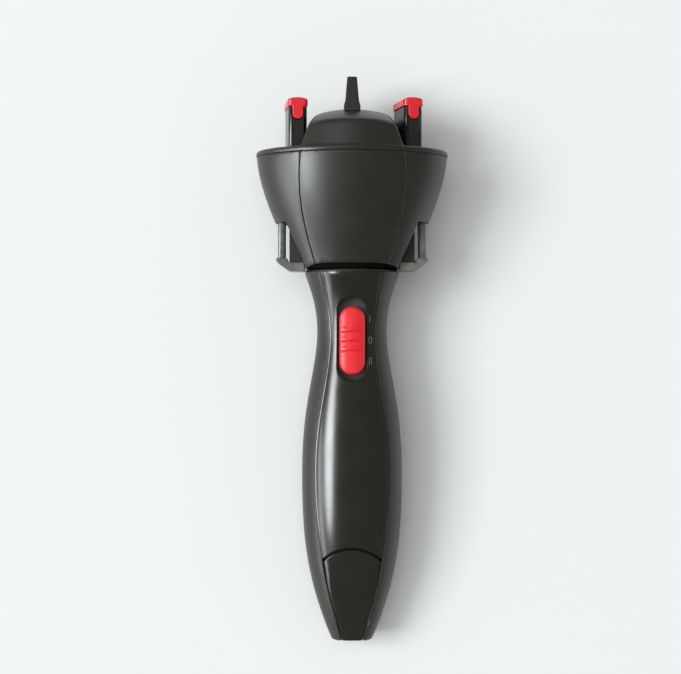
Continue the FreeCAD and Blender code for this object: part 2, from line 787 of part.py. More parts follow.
for name, x in (("red", "-LeadSpacing / 2"), ("black", "LeadSpacing / 2")):
    lead = rod("Lead" + name.title(), "LeadRadius", tray_high, "MotorZ - BellThick", x, "LeadBack")
    piece(held(lead), "lead_" + name)

# ---------------------------------------------------------------- neck bearing

flange_top = "CollarZ - Gap"
ring_low = "CollarZ + FloorThick + Gap"
neck_collar = turned("NeckCollar", [
    ("BushRadius", box_top),
    ("FlangeRadius", box_top),
    ("FlangeRadius", flange_top),
    ("SpigotRadius", flange_top),
    ("SpigotRadius", ring_low + " + RingThick + Gap"),
    ("BushRadius", ring_low + " + RingThick + Gap"),
])
piece(neck_collar, "neck_collar")
neck_ring = turned("NeckRing", [
    ("SpigotRadius", ring_low),
    ("SpigotRadius + RingWide", ring_low),
    ("SpigotRadius + RingWide", ring_low + " + RingThick"),
    ("SpigotRadius", ring_low + " + RingThick"),
])
piece(neck_ring, "neck_ring")
shaft_bush = turned("ShaftBush", [
    ("ShaftRadius + RunFit", box_top),
    ("BushRadius", box_top),
    ("BushRadius", "CollarZ"),
    ("ShaftRadius + RunFit", "CollarZ"),
])
piece(shaft_bush, "shaft_bush")

# ---------------------------------------------------------------- head covers

head_rows = [(n + "Z", n + "Wide", n + "Deep") for n, z, wide, deep, seam in HEAD]
head_seams = [(n + "Z", n + "Seam") for n, z, wide, deep, seam in HEAD]
head_solid = ovals("HeadSolid", head_rows)
head_inner = inside(head_rows, "Wall")
head_hollow = ovals("HeadHollow", head_inner)
neck_top = "CollarZ + NeckArch"
neck_arch = padded("NeckArch", "XZ_Plane", [
    ("-NotchIn", "CollarZ - 5"),
    ("NotchIn", "CollarZ - 5"),
    ("NotchIn", "CollarZ"),
    ("NeckFlat", neck_top),
    ("-NeckFlat", neck_top),
    ("-NotchIn", "CollarZ"),
], "4 * RimDeep")
neck_height = size(neck_top)
rounded(neck_arch, "NeckRounds", "NeckRound",
        lambda edge: abs(edge.BoundBox.ZMin - neck_height) < 0.01 and edge.BoundBox.YLength > 1)
head_wall = cut("HeadWall", head_solid, head_hollow, neck_arch)
head_room = ovals("HeadRoom", inside(head_rows, "Wall + Gap"))

notch = padded("Notch", "XZ_Plane", [
    ("NotchIn", "CollarZ - 5"),
    ("RimWide + 5", "CollarZ - 5"),
    ("RimWide + 5", "NotchZ"),
    ("NotchOut", "NotchZ"),
    ("NotchIn", "CollarZ + 1"),
], "4 * RimDeep")
notches = fuse("Notches", notch, mirror("NotchLeft", notch))

seam_rows = [("CollarZ - 1", head_seams[0][1])] + head_seams[1:-1] + [("RimZ + 1", head_seams[-1][1])]
front_slab = slab("FrontSlab", seam_rows, "-2 * RimDeep", "0")
seam_room = slab("SeamRoom", [(z, wide + " + Fit") for z, wide in seam_rows],
                 "-2 * RimDeep", "2 * RimDeep")
middle_cover = common("MiddleCover", head_wall, front_slab)
piece(held(middle_cover), "head_front_cover")
piece(mirror("BackCover", middle_cover, Vector(0, 1, 0)), "head_back_cover")
block_room = box("BlockRoom", "BlockIn - Gap", "BlockOut + Gap", "-BlockDeep / 2 - Gap",
                 "BlockDeep / 2 + Gap", "CollarZ", "DeckZ")
post_room = box("PostRoom", "PostX - PostWide / 2 - Gap", "PostX + PostWide / 2 + Gap",
                "-PostDeep / 2 - Gap", "PostDeep / 2 + Gap", "CollarZ", "DeckZ")
right_half = box("RightHalf", "0", "2 * RimWide", "-2 * RimDeep", "2 * RimDeep", "CollarZ - 5", "RimZ + 5")
lobe_reach = cut("LobeReach", right_half, seam_room, notch, post_room)
right_lobe = common("RightLobe", head_wall, lobe_reach)
both_sides(right_lobe, "lobe")

# ---------------------------------------------------------------- chassis

lever_room = fuse("LeverRoom", block_room, post_room)
lever_rooms = fuse("LeverRooms", lever_room, mirror("LeverRoomLeft", lever_room))
shelf_top = "NotchZ + ShelfThick"
neck_body = common(
    "NeckBody", head_room,
    box("NeckReach", "-NeckHalf", "NeckHalf", "-RimDeep", "RimDeep", "CollarZ", shelf_top),
)
neck_void = common(
    "NeckVoid", ovals("NeckVoidOval", inside(head_rows, "2 * Wall + Gap")),
    box("NeckVoidReach", "-NeckHalf + Wall", "NeckHalf - Wall", "-RimDeep", "RimDeep",
        "CollarZ + FloorThick", "NotchZ"),
)
shelf = common("Shelf", head_room,
               box("ShelfReach", "-RimWide", "RimWide", "-RimDeep", "RimDeep", "NotchZ", shelf_top))
pillars = [rod("Pillar%d" % n, "PillarRadius", "NotchZ", "DeckZ", "0", y)
           for n, y in enumerate(("PillarY", "-PillarY"))]
pillar_bores = [rod("PillarBore%d" % n, "ScrewRadius + Fit", "CollarZ", "RimZ + 5", "0", y)
                for n, y in enumerate(("PillarY", "-PillarY"))]
screw_access = [rod("ScrewAccess%d" % n, "ScrewHead + Gap", "NotchZ - 5", "NotchZ", "0", y)
                for n, y in enumerate(("PillarY", "-PillarY"))]
chassis = cut(
    "Chassis",
    fuse("ChassisWhole", cut("NeckShell", neck_body, neck_void), shelf, *pillars),
    rod("NeckBore", "SpigotRadius + RunFit", "CollarZ - 1", "CollarZ + FloorThick + 1"),
    rod("ShelfBore", "ShaftRadius + ShaftRoom", "NotchZ - 1", shelf_top + " + 1"),
    lever_rooms, *pillar_bores, *screw_access,
)
piece(chassis, "head_chassis")

deck_top = "DeckZ + DeckThick"
hook_x = "GearModule * (SunTeeth + SpindleTeeth) / 2"
stem_holes = []
for number, x in enumerate((hook_x, "-(%s)" % hook_x)):
    stem_holes.append(rod("StemHole%d" % number, "StemRadius + Gap", "DeckZ - 1", deck_top + " + 1", x))
    stem_holes.append(rod("SpigotSeat%d" % number, "PivotRadius + RunFit",
                          deck_top + " - SpigotDeep", deck_top + " + 1", x))
deck_reach = box("DeckReach", "-RimWide", "RimWide", "-RimDeep", "RimDeep", "DeckZ", deck_top)
deck = cut(
    "Deck",
    common("DeckBlank", head_room, deck_reach),
    rod("DeckBore", "ShaftRadius + RunFit", "DeckZ - 1", deck_top + " + 1"),
    *stem_holes, *pillar_bores,
)
piece(deck, "gear_deck")

head_screw = screw("HeadScrew", "ScrewRadius", "ScrewHead", "ScrewHeadThick", "RimZ - NotchZ - ScrewShort")
screw_pair = new("Part::Compound", "HeadScrewPair")
placed_screws = []
for number, side in enumerate((1, -1)):
    copy = new("App::Link", "HeadScrewCopy%d" % number)
    copy.LinkedObject = head_screw
    copy.Placement = Placement(Vector(0, side * size("PillarY"), size("NotchZ")), Rotation())
    placed_screws.append(copy)
screw_pair.Links = placed_screws
piece(screw_pair, "head_screws")

# ---------------------------------------------------------------- top cover and fin

plate_top = "RimZ + TopThick"
top_plate = ovals("TopPlate", [
    ("RimZ", "RimWide + TopLip", "RimDeep + TopLip"),
    (plate_top + " - TopEdge", "RimWide + TopLip", "RimDeep + TopLip"),
    (plate_top, "RimWide + TopLip - TopEdge", "RimDeep + TopLip - TopEdge"),
], ruled=True)
dome_top = "DomeZ + DomeCrown"
dome_oval = ovals("DomeOval", [
    ("RimZ + 1", "RimWide", "RimDeep"),
    (dome_top + " + 1", "RimWide * DomeTopDeep / RimDeep", "DomeTopDeep"),
], ruled=True)
dome_face = padded("DomeFace", "XZ_Plane", [
    ("-DomeHalf", "RimZ + 0.5"),
    ("DomeHalf", "RimZ + 0.5"),
    ("DomeTopHalf", "DomeZ"),
    ("0", "DomeZ + 3 * DomeCrown"),
    ("-DomeTopHalf", "DomeZ"),
], "4 * RimDeep")
dome_height = size("DomeZ")
rounded(dome_face, "DomeCorners", "DomeRound",
        lambda edge: abs(edge.BoundBox.ZMin - dome_height) < 0.01 and edge.BoundBox.YLength > 1)
crown_radius = bow("DomeTopHalf", "DomeCrown")
dome_crown = ball("DomeCrown", crown_radius, "%s - (%s)" % (dome_top, crown_radius))
fin_top = dome_top + " + FinHigh"
sweeps = [rod("HookSweep%d" % n, "HookSweep", plate_top, fin_top, x)
          for n, x in enumerate((hook_x, "-(%s)" % hook_x))]
dome = cut("Dome", common("DomeBlank", dome_oval, dome_face, dome_crown), *sweeps)
sweep_walls = [rod("SweepWall%d" % n, "HookSweep + Wall", "RimZ - 3", fin_top, x)
               for n, x in enumerate((hook_x, "-(%s)" % hook_x))]
hollow_reach = box("DomeHollowReach", "-DomeHalf", "DomeHalf", "-RimDeep", "RimDeep", "RimZ - 2", "DomeZ")
dome_hollow = common(
    "DomeHollow",
    box("DomeHollowBox", "-DomeTopHalf + 2 * Wall", "DomeTopHalf - 2 * Wall",
        "-DomeHollowDeep", "DomeHollowDeep", "RimZ - 1", "DomeZ - 2 * Wall"),
    cut("DomeHollowRoom", hollow_reach, *sweep_walls),
)
top_pillars = [rod("TopPillar%d" % n, "PillarRadius", deck_top, "RimZ + 0.5", "0", y)
               for n, y in enumerate(("PillarY", "-PillarY"))]
bush_outer = "SpindleRadius + RunFit + SpindleBush"
shaft_top = "RimZ - ShaftShort"
clip_low = deck_top + " + Gap + GearThick - SunClear"
clip_top = clip_low + " + ClipThick"
boss_low = clip_top + " + ClipRoom"
top_boss = rod("TopBoss", "ShaftRadius + ShaftBoss", boss_low, "DomeZ - 2 * Wall + 1")
top_shell = cut("TopShell", fuse("TopAndDome", top_plate, dome), dome_hollow)
top_cover = cut(
    "TopCover",
    fuse("TopWhole", top_shell, top_boss, *top_pillars),
    rod("ShaftSeat", "ShaftRadius + RunFit", boss_low + " - 1", shaft_top + " + Gap"),
    *[rod("TopPillarBore%d" % n, "ScrewRadius", "DeckZ", "RimZ - 1", "0", y)
      for n, y in enumerate(("PillarY", "-PillarY"))],
    *[rod("BushSeat%d" % n, bush_outer, "RimZ - 5", plate_top + " + 1", x)
      for n, x in enumerate((hook_x, "-(%s)" % hook_x))],
)
piece(top_cover, "head_top_cover")

fin_points = [
    ("-FinDeep / 2", "DomeZ - 3"),
    ("FinDeep / 2", "DomeZ - 3"),
    ("FinTipDeep / 2", fin_top + " - FinChamfer"),
    ("FinTipDeep / 4", fin_top),
    ("-FinTipDeep / 4", fin_top),
    ("-FinTipDeep / 2", fin_top + " - FinChamfer"),
]
fin_side = padded("FinSide", "YZ_Plane", fin_points, "2 * FinWide")
fin_face = padded("FinFace", "XZ_Plane", [
    ("-FinWide / 2 - FinSkirt", "DomeZ - 3"),
    ("FinWide / 2 + FinSkirt", "DomeZ - 3"),
    ("FinWide / 2 + FinSkirt", dome_top),
    ("FinWide / 2", dome_top + " + FinSkirtHigh"),
    ("FinTipWide / 2", fin_top),
    ("-FinTipWide / 2", fin_top),
    ("-FinWide / 2", dome_top + " + FinSkirtHigh"),
    ("-FinWide / 2 - FinSkirt", dome_top),
], "2 * FinDeep")
fin_height = size(fin_top)
rounded(fin_face, "FinCorners", "FinTipWide * BarRound",
        lambda edge: edge.BoundBox.ZMin > fin_height - 0.01 and edge.BoundBox.YLength > 1)
fin = cut("Fin", common("FinBlank", fin_side, fin_face), dome)
piece(fin, "divider_fin")

# ---------------------------------------------------------------- gears and shaft


def gear_solid(teeth, module, thick, bore):
    """An involute spur gear with a tooth centred on the X axis."""
    pressure = math.radians(20)
    addendum = 0.95 * module
    dedendum = 1.2 * module
    pitch = module * teeth / 2
    base = pitch * math.cos(pressure)
    tip = pitch + addendum
    root = pitch - dedendum
    half = (math.pi * module / 2 - size("Backlash")) / (2 * pitch)
    involute = math.tan(pressure) - pressure

    def flank(radius):
        angle = math.acos(min(1.0, base / radius))
        return half + involute - (math.tan(angle) - angle)

    steps = 5
    low = max(base, root)
    radii = [low + (tip - low) * step / steps for step in range(steps + 1)]
    points = []
    for tooth in range(teeth):
        centre = 2 * math.pi * tooth / teeth
        rising = [(root, centre - flank(low))] + [(r, centre - flank(r)) for r in radii]
        falling = [(r, centre + flank(r)) for r in reversed(radii)] + [(root, centre + flank(low))]
        for radius, angle in rising + falling:
            points.append(Vector(radius * math.cos(angle), radius * math.sin(angle), 0))
    clean = [points[0]]
    for point in points[1:]:
        if (point - clean[-1]).Length > 1e-4:
            clean.append(point)
    face = Part.Face(Part.makePolygon(clean + [clean[0]]))
    return face.extrude(Vector(0, 0, thick)).cut(Part.makeCylinder(bore, thick))


gear_z = size(deck_top + " + Gap")
sun_thick = size("GearThick - 2 * SunClear")
sun_gear = new("Part::Feature", "SunGear")
sun_gear.Shape = gear_solid(int(size("SunTeeth")), size("GearModule"), sun_thick, size("ShaftRadius"))
piece(sun_gear, "sun_gear", Placement(Vector(0, 0, gear_z + size("SunClear")), Rotation()))

drive_shaft = turned("DriveShaft", [
    ("0", box_top + " - ShaftSeat + Gap"),
    ("ShaftRadius", box_top + " - ShaftSeat + Gap"),
    ("ShaftRadius", shaft_top),
    ("0", shaft_top),
])
piece(drive_shaft, "drive_shaft")
shaft_clip = turned("ShaftClip", [
    ("ShaftRadius", clip_low),
    ("ShaftRadius + ClipWide", clip_low),
    ("ShaftRadius + ClipWide", clip_top),
    ("ShaftRadius", clip_top),
])
piece(shaft_clip, "shaft_clip")

# ---------------------------------------------------------------- hooks

half_pitch = 180.0 / size("SpindleTeeth")
hook_bore = "StemRadius + RunFit * 2"
sleeve_low = plate_top + " + Gap"
cap_low = "SleeveTop + Gap"
foot_low = "WingZ + WingThick + Gap"


def hook_post(name, wide, deep, z0, z1):
    """A block on the hook's axis with rounded upright edges."""
    owner = body(name)
    half_x = "(%s) / 2" % wide
    half_y = "(%s) / 2" % deep
    sketch = outline(owner, name + "Outline", "XY_Plane", [
        ("-" + half_x, "-" + half_y), (half_x, "-" + half_y), (half_x, half_y), ("-" + half_x, half_y)])
    bind(sketch, AttachmentOffset__Base__z=z0)
    pad = owner.newObject("PartDesign::Pad", name + "Pad")
    pad.Profile = sketch
    bind(pad, Length="(%s) - (%s)" % (z1, z0))
    rounded(owner, name + "Uprights", "HookRound", lambda edge: edge.BoundBox.ZLength > 0.1)
    return owner


for side, sign in (("left", -1), ("right", 1)):
    title = side.title()
    axis = Vector(sign * size(hook_x), 0, 0)
    hook_turn = Rotation(Vector(0, 0, 1), size("HookTurn" + title))

    spindle = new("Part::Feature", "Spindle" + title)
    gear = gear_solid(int(size("SpindleTeeth")), size("GearModule"), size("GearThick"), size(hook_bore))
    gear.rotate(Vector(), Vector(0, 0, 1), half_pitch)
    low = size("SpigotDeep")
    spigot = Part.makeCylinder(size("PivotRadius"), low, Vector(0, 0, -low))
    neck = Part.makeCylinder(size("SpindleRadius"), size(sleeve_low) - gear_z - size("GearThick"),
                             Vector(0, 0, size("GearThick")))
    reach = size("SleeveTop")
    drill = Part.makeCylinder(size(hook_bore), 2 * reach, Vector(0, 0, -reach))
    spindle.Shape = gear.fuse([spigot, neck]).cut(drill)
    piece(spindle, "spindle_gear_" + side, Placement(axis + Vector(0, 0, gear_z), Rotation()))

    bush = turned("SpindleBush" + title, [
        ("SpindleRadius + RunFit", "RimZ - BushLip"),
        (bush_outer, "RimZ - BushLip"),
        (bush_outer, plate_top),
        ("SpindleRadius + RunFit", plate_top),
    ])
    piece(bush, "spindle_bush_" + side, Placement(axis, Rotation()))

    tongue_reach = "HookDeep / 2 - TongueDeep"
    tongue_z = "SleeveTop - TongueLong + TongueWide / 2"
    notch_half = "TongueWide / 2 + TongueClear"
    notch_back = "-(%s) + TongueClear" % tongue_reach
    sleeve = cut(
        "Sleeve" + title,
        hook_post("SleeveBody" + title, "HookWide", "HookDeep", sleeve_low, "SleeveTop"),
        rod("SleeveBore" + title, hook_bore, sleeve_low + " - 1", "SleeveTop + 1"),
        fuse(
            "SleeveNotch" + title,
            box("NotchBox" + title, "-(%s)" % notch_half, notch_half, "-HookDeep", notch_back,
                tongue_z, "SleeveTop + 1"),
            pin("NotchRound" + title, notch_half, "-HookDeep", notch_back, "0", tongue_z),
        ),
    )
    piece(sleeve, "hook_sleeve_" + side, Placement(axis, hook_turn))

    stem = turned("Stem" + title, [
        ("0", foot_low),
        ("FootRadius", foot_low),
        ("FootRadius", foot_low + " + FootThick"),
        ("StemRadius", foot_low + " + FootThick"),
        ("StemRadius", cap_low + " + CapThick / 2"),
        ("0", cap_low + " + CapThick / 2"),
    ])
    piece(stem, "hook_stem_" + side, Placement(axis, hook_turn))

    cap_body = hook_post("CapBody" + title, "HookWide + 2 * CapOver", "HookDeep + 2 * CapOver", cap_low,
                         cap_low + " + CapThick")
    cap_height = size(cap_low + " + CapThick")
    rounded(cap_body, "CapRounds" + title, "CapRound", lambda edge: edge.BoundBox.ZMin > cap_height - 0.01)
    cap_radius = bow("HookWide / 2 + CapOver", "CapCrown")
    cap_crown = pin("CapCrown" + title, cap_radius, "-HookDeep", "HookDeep", "0",
                    "%s + CapThick - (%s)" % (cap_low, cap_radius))
    tip = cut(
        "Tip" + title,
        fuse(
            "TipWhole" + title,
            common("CapBent" + title, cap_body, cap_crown),
            box("TongueBox" + title, "-TongueWide / 2", "TongueWide / 2", "-HookDeep / 2 - CapOver",
                "-(%s)" % tongue_reach, tongue_z, cap_low + " + 1"),
            pin("TongueRound" + title, "TongueWide / 2", "-HookDeep / 2 - CapOver", "-(%s)" % tongue_reach,
                "0", tongue_z),
        ),
        rod("TipBore" + title, "StemRadius", cap_low + " - 1", cap_low + " + CapThick / 2"),
    )
    piece(tip, "hook_tip_" + side, Placement(axis, hook_turn))

# ---------------------------------------------------------------- levers

wing_top = "WingZ + WingThick"
wing = padded("WingRight", "XZ_Plane", [
    ("WingIn", "WingZ"),
    ("WingKnee", "WingZ"),
    ("WingOut - WingTip", wing_top + " + WingRise - 2 * WingTip"),
    ("WingOut", wing_top + " + WingRise - WingTip"),
    ("WingOut", wing_top + " + WingRise"),
    ("WingKnee + WingRise / 2", wing_top + " + WingRise"),
    ("WingKnee", wing_top),
    ("WingIn", wing_top),
], "WingDeep")
wing_edge = size("WingKnee")
wing_low = size("WingZ")
wing_inner = size("WingIn")
rounded(wing, "WingUnder", "WingBelly", lambda edge: edge.BoundBox.YLength > 5
        and abs(edge.BoundBox.XMin - wing_edge) < 0.01 and edge.BoundBox.ZMax < wing_low + 0.01)
rounded(wing, "WingFront", "WingNose",
        lambda edge: edge.BoundBox.YLength > 5 and edge.BoundBox.XMax < wing_inner + 0.01)
both_sides(wing, "wing")

block_top = "DeckZ - LeverTravel - SpringPacked"
post_top = "DeckZ - LeverTravel - PostClear"
block = cut(
    "BlockRight",
    box("BlockBlank", "BlockIn", "BlockOut", "-BlockDeep / 2", "BlockDeep / 2", wing_top, block_top),
    rod("FootRoom", "FootRadius + Fit", wing_top + " - 1", foot_low + " + FootThick + Gap", hook_x),
    rod("StemRoom", hook_bore, wing_top, block_top + " + 1", hook_x),
)
both_sides(block, "lever_block")

post = body("PostRight")
post_outline = outline(post, "PostOutline", "XY_Plane", [
    ("PostX - PostWide / 2", "-PostDeep / 2"), ("PostX + PostWide / 2", "-PostDeep / 2"),
    ("PostX + PostWide / 2", "PostDeep / 2"), ("PostX - PostWide / 2", "PostDeep / 2")])
bind(post_outline, AttachmentOffset__Base__z=wing_top + " + WingRise")
post_pad = post.newObject("PartDesign::Pad", "PostPad")
post_pad.Profile = post_outline
bind(post_pad, Length="%s - (%s) - WingRise" % (post_top, wing_top))
rounded(post, "PostUprights", "PostWide * BarRound", lambda edge: edge.BoundBox.ZLength > 1)
both_sides(post, "lever_post")

for side, sign in (("left", -1), ("right", 1)):
    spring = coil("Spring" + side.title(), "SpringRadius", "SpringWire", "SpringTurns",
                  "LeverTravel + SpringPacked")
    place = Placement(Vector(sign * size(hook_x), 0, size(block_top)), Rotation())
    piece(spring, "return_spring_" + side, place)

doc.recompute()

# ---------------------------------------------------------------- laying it down


def shape_of(item, place):
    shape = item.Shape.copy()
    shape.Placement = place.multiply(shape.Placement)
    return shape


def tilted(angle):
    return Placement(Vector(), Rotation(Vector(1, 0, 0), angle - 90.0))


def lowest(item, angle):
    return shape_of(item, tilted(angle)).optimalBoundingBox(False, False).ZMin


# The tilt at which the rim of the head and the back of the handle touch one floor.
low_angle, high_angle = 0.0, 12.0
for step in range(24):
    middle = (low_angle + high_angle) / 2
    if lowest(top_plate, middle) < lowest(handle_solid, middle):
        low_angle = middle
    else:
        high_angle = middle
TILT = (low_angle + high_angle) / 2
standing = [shape_of(item, tilted(TILT).multiply(place)) for item, place in PIECES]
bounds = Part.makeCompound(standing).optimalBoundingBox(False, False)
LYING = Placement(Vector(0, -(bounds.YMin + bounds.YMax) / 2, -bounds.ZMin), tilted(TILT).Rotation)

for item, place in PIECES:
    item.Placement = LYING.multiply(place)
doc.recompute()

# ---------------------------------------------------------------- checks and files

for item in doc.Objects:
    if "Invalid" in item.State or "Error" in item.State:
        raise RuntimeError("%s (%s) failed: %s" % (item.Name, item.Label, item.State))
for item, place in PIECES:
    if item.Shape.isNull() or not item.Shape.isValid() or item.Shape.Volume <= 0:
        raise RuntimeError("%s has no sound shape" % item.Label)

os.makedirs("parts", exist_ok=True)
for item, place in PIECES:
    item.Shape.exportStep("parts/%s.step" % item.Label)
    print("%-24s %2d solid  %9.1f mm3" % (item.Label, len(item.Shape.Solids), item.Shape.Volume))
print("tilt %.3f degrees, laid down at %s" % (TILT, LYING.Base))
print("hook axes at %.2f mm, %d pieces" % (size(hook_x), len(PIECES)))
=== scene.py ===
# %% [markdown]
# # An automatic hair braider
# The braider lies on its back on a pale sheet, as it would beside a mirror.
# Its solids come in ready made: every shell, gear and spring is already at its
# real size and sits on the body that it moves with. This lesson dresses them.
# It rounds their moulded edges, adds the small surface pieces, mixes a finish
# for every plastic and metal, and lights the whole like a small product shot.

# %% Load the frame
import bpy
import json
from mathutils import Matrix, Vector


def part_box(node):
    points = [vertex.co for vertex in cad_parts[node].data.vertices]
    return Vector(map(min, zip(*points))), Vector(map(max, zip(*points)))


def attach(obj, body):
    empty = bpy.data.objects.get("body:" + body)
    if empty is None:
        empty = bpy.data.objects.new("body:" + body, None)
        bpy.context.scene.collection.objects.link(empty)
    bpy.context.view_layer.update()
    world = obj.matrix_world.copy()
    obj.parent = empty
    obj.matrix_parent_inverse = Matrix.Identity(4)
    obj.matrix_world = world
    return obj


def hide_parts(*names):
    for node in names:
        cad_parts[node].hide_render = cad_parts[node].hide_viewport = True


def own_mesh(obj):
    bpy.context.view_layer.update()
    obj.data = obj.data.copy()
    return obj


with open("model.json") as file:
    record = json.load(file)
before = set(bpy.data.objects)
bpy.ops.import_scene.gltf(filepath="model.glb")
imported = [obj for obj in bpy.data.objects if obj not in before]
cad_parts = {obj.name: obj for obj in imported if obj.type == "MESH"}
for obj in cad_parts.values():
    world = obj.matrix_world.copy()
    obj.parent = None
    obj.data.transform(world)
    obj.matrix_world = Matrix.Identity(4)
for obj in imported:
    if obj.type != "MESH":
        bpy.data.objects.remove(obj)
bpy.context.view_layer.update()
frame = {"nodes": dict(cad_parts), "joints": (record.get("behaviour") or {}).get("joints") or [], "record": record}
nodes = frame["nodes"]

# %% Tools for the lesson
import json
import math

import bmesh
import bpy
from mathutils import Matrix, Vector
from mathutils.bvhtree import BVHTree

MM = 0.001
print("the scene is in metres, and a millimetre is", MM)

# %% [markdown]
# ## A frame that stands the braider up
# The braider lies at a small slope, because the rim of its head is deeper than
# its handle. Placing a mark on the handle is easier in a frame that stands it
# on its tail: x to the right, y from the switch to the back, z up the axis the
# head spins on, all in millimetres. That frame could be typed in, but the spin
# joint already holds the axis, and the front shell shows where the tail ends,
# so both are read.

# %% The upright frame
spin = next(joint for joint in frame["joints"] if joint["name"] == "head_spin")
ALONG = Vector(spin["axis"]).normalized()
BACK = Vector((0, ALONG.z, -ALONG.y))
on_axis = Vector(spin["pos_m"])
heights = [(vertex.co - on_axis).dot(ALONG) for vertex in nodes["front_shell"].data.vertices]
tail_end = on_axis + ALONG * min(heights)
UPRIGHT = Matrix((
    (1, 0, 0, tail_end.x),
    (0, BACK.y, ALONG.y, tail_end.y),
    (0, BACK.z, ALONG.z, tail_end.z),
    (0, 0, 0, 1),
)) @ Matrix.Scale(MM, 4)
TO_UPRIGHT = UPRIGHT.inverted()
print("slope of the axis: %.2f degrees" % math.degrees(math.asin(ALONG.z)))

# %% [markdown]
# ## The camera
# The view looks straight down on the switch from well above, a little to the
# left of the middle. A wide lens from nearby would swell the tall head, so the
# camera stands back with a long one.

# %% Camera
EYE = Vector((-4.9, -626.0, 129.3))
LENS_ANGLE = math.radians(26.3)
NEAREST = 0.01


def link(obj):
    bpy.context.scene.collection.objects.link(obj)
    return obj


camera = link(bpy.data.objects.new("Camera", bpy.data.cameras.new("Camera")))
across, up, towards = Vector((1, 0, 0)), ALONG, -BACK
camera.matrix_world = Matrix((
    (across.x, up.x, towards.x, 0),
    (across.y, up.y, towards.y, 0),
    (across.z, up.z, towards.z, 0),
    (0, 0, 0, 1),
))
camera.location = UPRIGHT @ EYE
camera.data.angle = LENS_ANGLE
camera.data.clip_start = NEAREST
bpy.context.scene.camera = camera
bpy.context.scene.view_settings.view_transform = "Standard"
print("camera at", [round(v, 3) for v in camera.location])

# %% [markdown]
# ## The sheet
# The braider lies on matt paper in a cool white. Paper could be lit until it
# turns white, but that much light would wash out the black plastic as well, so
# the colour is mixed into the paper. It has no gloss at all, because a glossy
# sheet would show the lamps wherever it is seen at a low angle.

# %% Sheet
SHEET_WIDE = 30.0
SHEET_COLOUR = (0.828, 0.864, 0.886, 1.0)
SHEET_ROUGHNESS = 0.85


def mesh_object(name, builder):
    """A new object from a bmesh that is already in metres and in the row frame."""
    mesh = bpy.data.meshes.new(name)
    builder.to_mesh(mesh)
    builder.free()
    return link(bpy.data.objects.new(name, mesh))


sheet_mesh = bmesh.new()
bmesh.ops.create_grid(sheet_mesh, x_segments=2, y_segments=2, size=SHEET_WIDE / 2)
sheet = mesh_object("sheet", sheet_mesh)
paper = bpy.data.materials.new("paper")
paper.use_nodes = True
paper_shader = paper.node_tree.nodes["Principled BSDF"]
paper_shader.inputs["Base Color"].default_value = SHEET_COLOUR
paper_shader.inputs["Roughness"].default_value = SHEET_ROUGHNESS
paper_shader.inputs["Specular IOR Level"].default_value = 0.0
sheet.data.materials.append(paper)
print("a sheet", SHEET_WIDE, "m wide")

# %% [markdown]
# ## Lamps
# A wide softbox stands to the left and throws the soft shadow to the right,
# and a wider one overhead fills it. Black plastic mirrors whatever stands
# round it, and softboxes of that size would veil all of it in grey. A studio
# would flag them off and set up small white cards instead, and a ray tracer
# can do the same: the two softboxes are hidden from reflections, and three
# cards shine in reflections only. They draw the bright strip down the panel,
# the light on the left flank, and a faint glint from above.

# %% Lamps
COOL = (0.93, 0.97, 1.0)
WHITE = (1.0, 1.0, 1.0)
ROOM_COLOUR = (1.0, 0.985, 0.92, 1.0)
ROOM_STRENGTH = 0.32


def lamp(name, lean, turn, distance, size, watts, colour=WHITE, shape="RECTANGLE", card=False):
    """A softbox that leans from upright by one angle, turned about the middle by another."""
    light = bpy.data.lights.new(name, "AREA")
    light.shape = shape
    light.size, light.size_y = size
    light.energy = watts
    light.color = colour
    lean, turn = math.radians(lean), math.radians(turn)
    flat = math.sin(lean)
    way = Vector((flat * math.cos(turn), flat * math.sin(turn), math.cos(lean)))
    obj = link(bpy.data.objects.new(name, light))
    obj.location = way * distance
    obj.rotation_mode = "QUATERNION"
    obj.rotation_quaternion = way.to_track_quat("Z", "Y")
    obj.visible_diffuse = not card
    obj.visible_glossy = card


lamp("key", lean=43, turn=178, distance=8.0, size=(3.6, 3.6), watts=436.0)
lamp("fill_top", lean=10, turn=180, distance=8.0, size=(6.0, 6.0), watts=200.0)
lamp("card_left", lean=48, turn=184, distance=4.0, size=(2.2, 1.3), watts=170.0,
     colour=COOL, shape="ELLIPSE", card=True)
lamp("card_low", lean=74, turn=196, distance=4.0, size=(3.0, 1.3), watts=75.0,
     colour=COOL, shape="ELLIPSE", card=True)
lamp("card_above", lean=34, turn=112, distance=4.0, size=(1.3, 1.3), watts=9.0,
     colour=COOL, shape="DISK", card=True)
world = bpy.data.worlds.new("room")
bpy.context.scene.world = world
world.use_nodes = True
world.node_tree.nodes["Background"].inputs["Color"].default_value = ROOM_COLOUR
world.node_tree.nodes["Background"].inputs["Strength"].default_value = ROOM_STRENGTH
print("lit by", ", ".join(sorted(light.name for light in bpy.data.lights)))

# %% [markdown]
# ## Finishes
# Almost everything is ABS plastic, so one recipe serves with other numbers.
# A fine noise lifts the surface into moulding grain, and a slow noise drifts
# the colour and the roughness as handling does. A picture of plastic would
# stretch over the curves; noise that lives in the object's own space doesn't.

# %% The recipe
NOISE_LOW = 0.3
NOISE_HIGH = 0.7
SLOW_DETAIL = 3
FINE_DETAIL = 2
ROUGHNESS_SHARE = 0.6
SMOOTHEST = 0.02


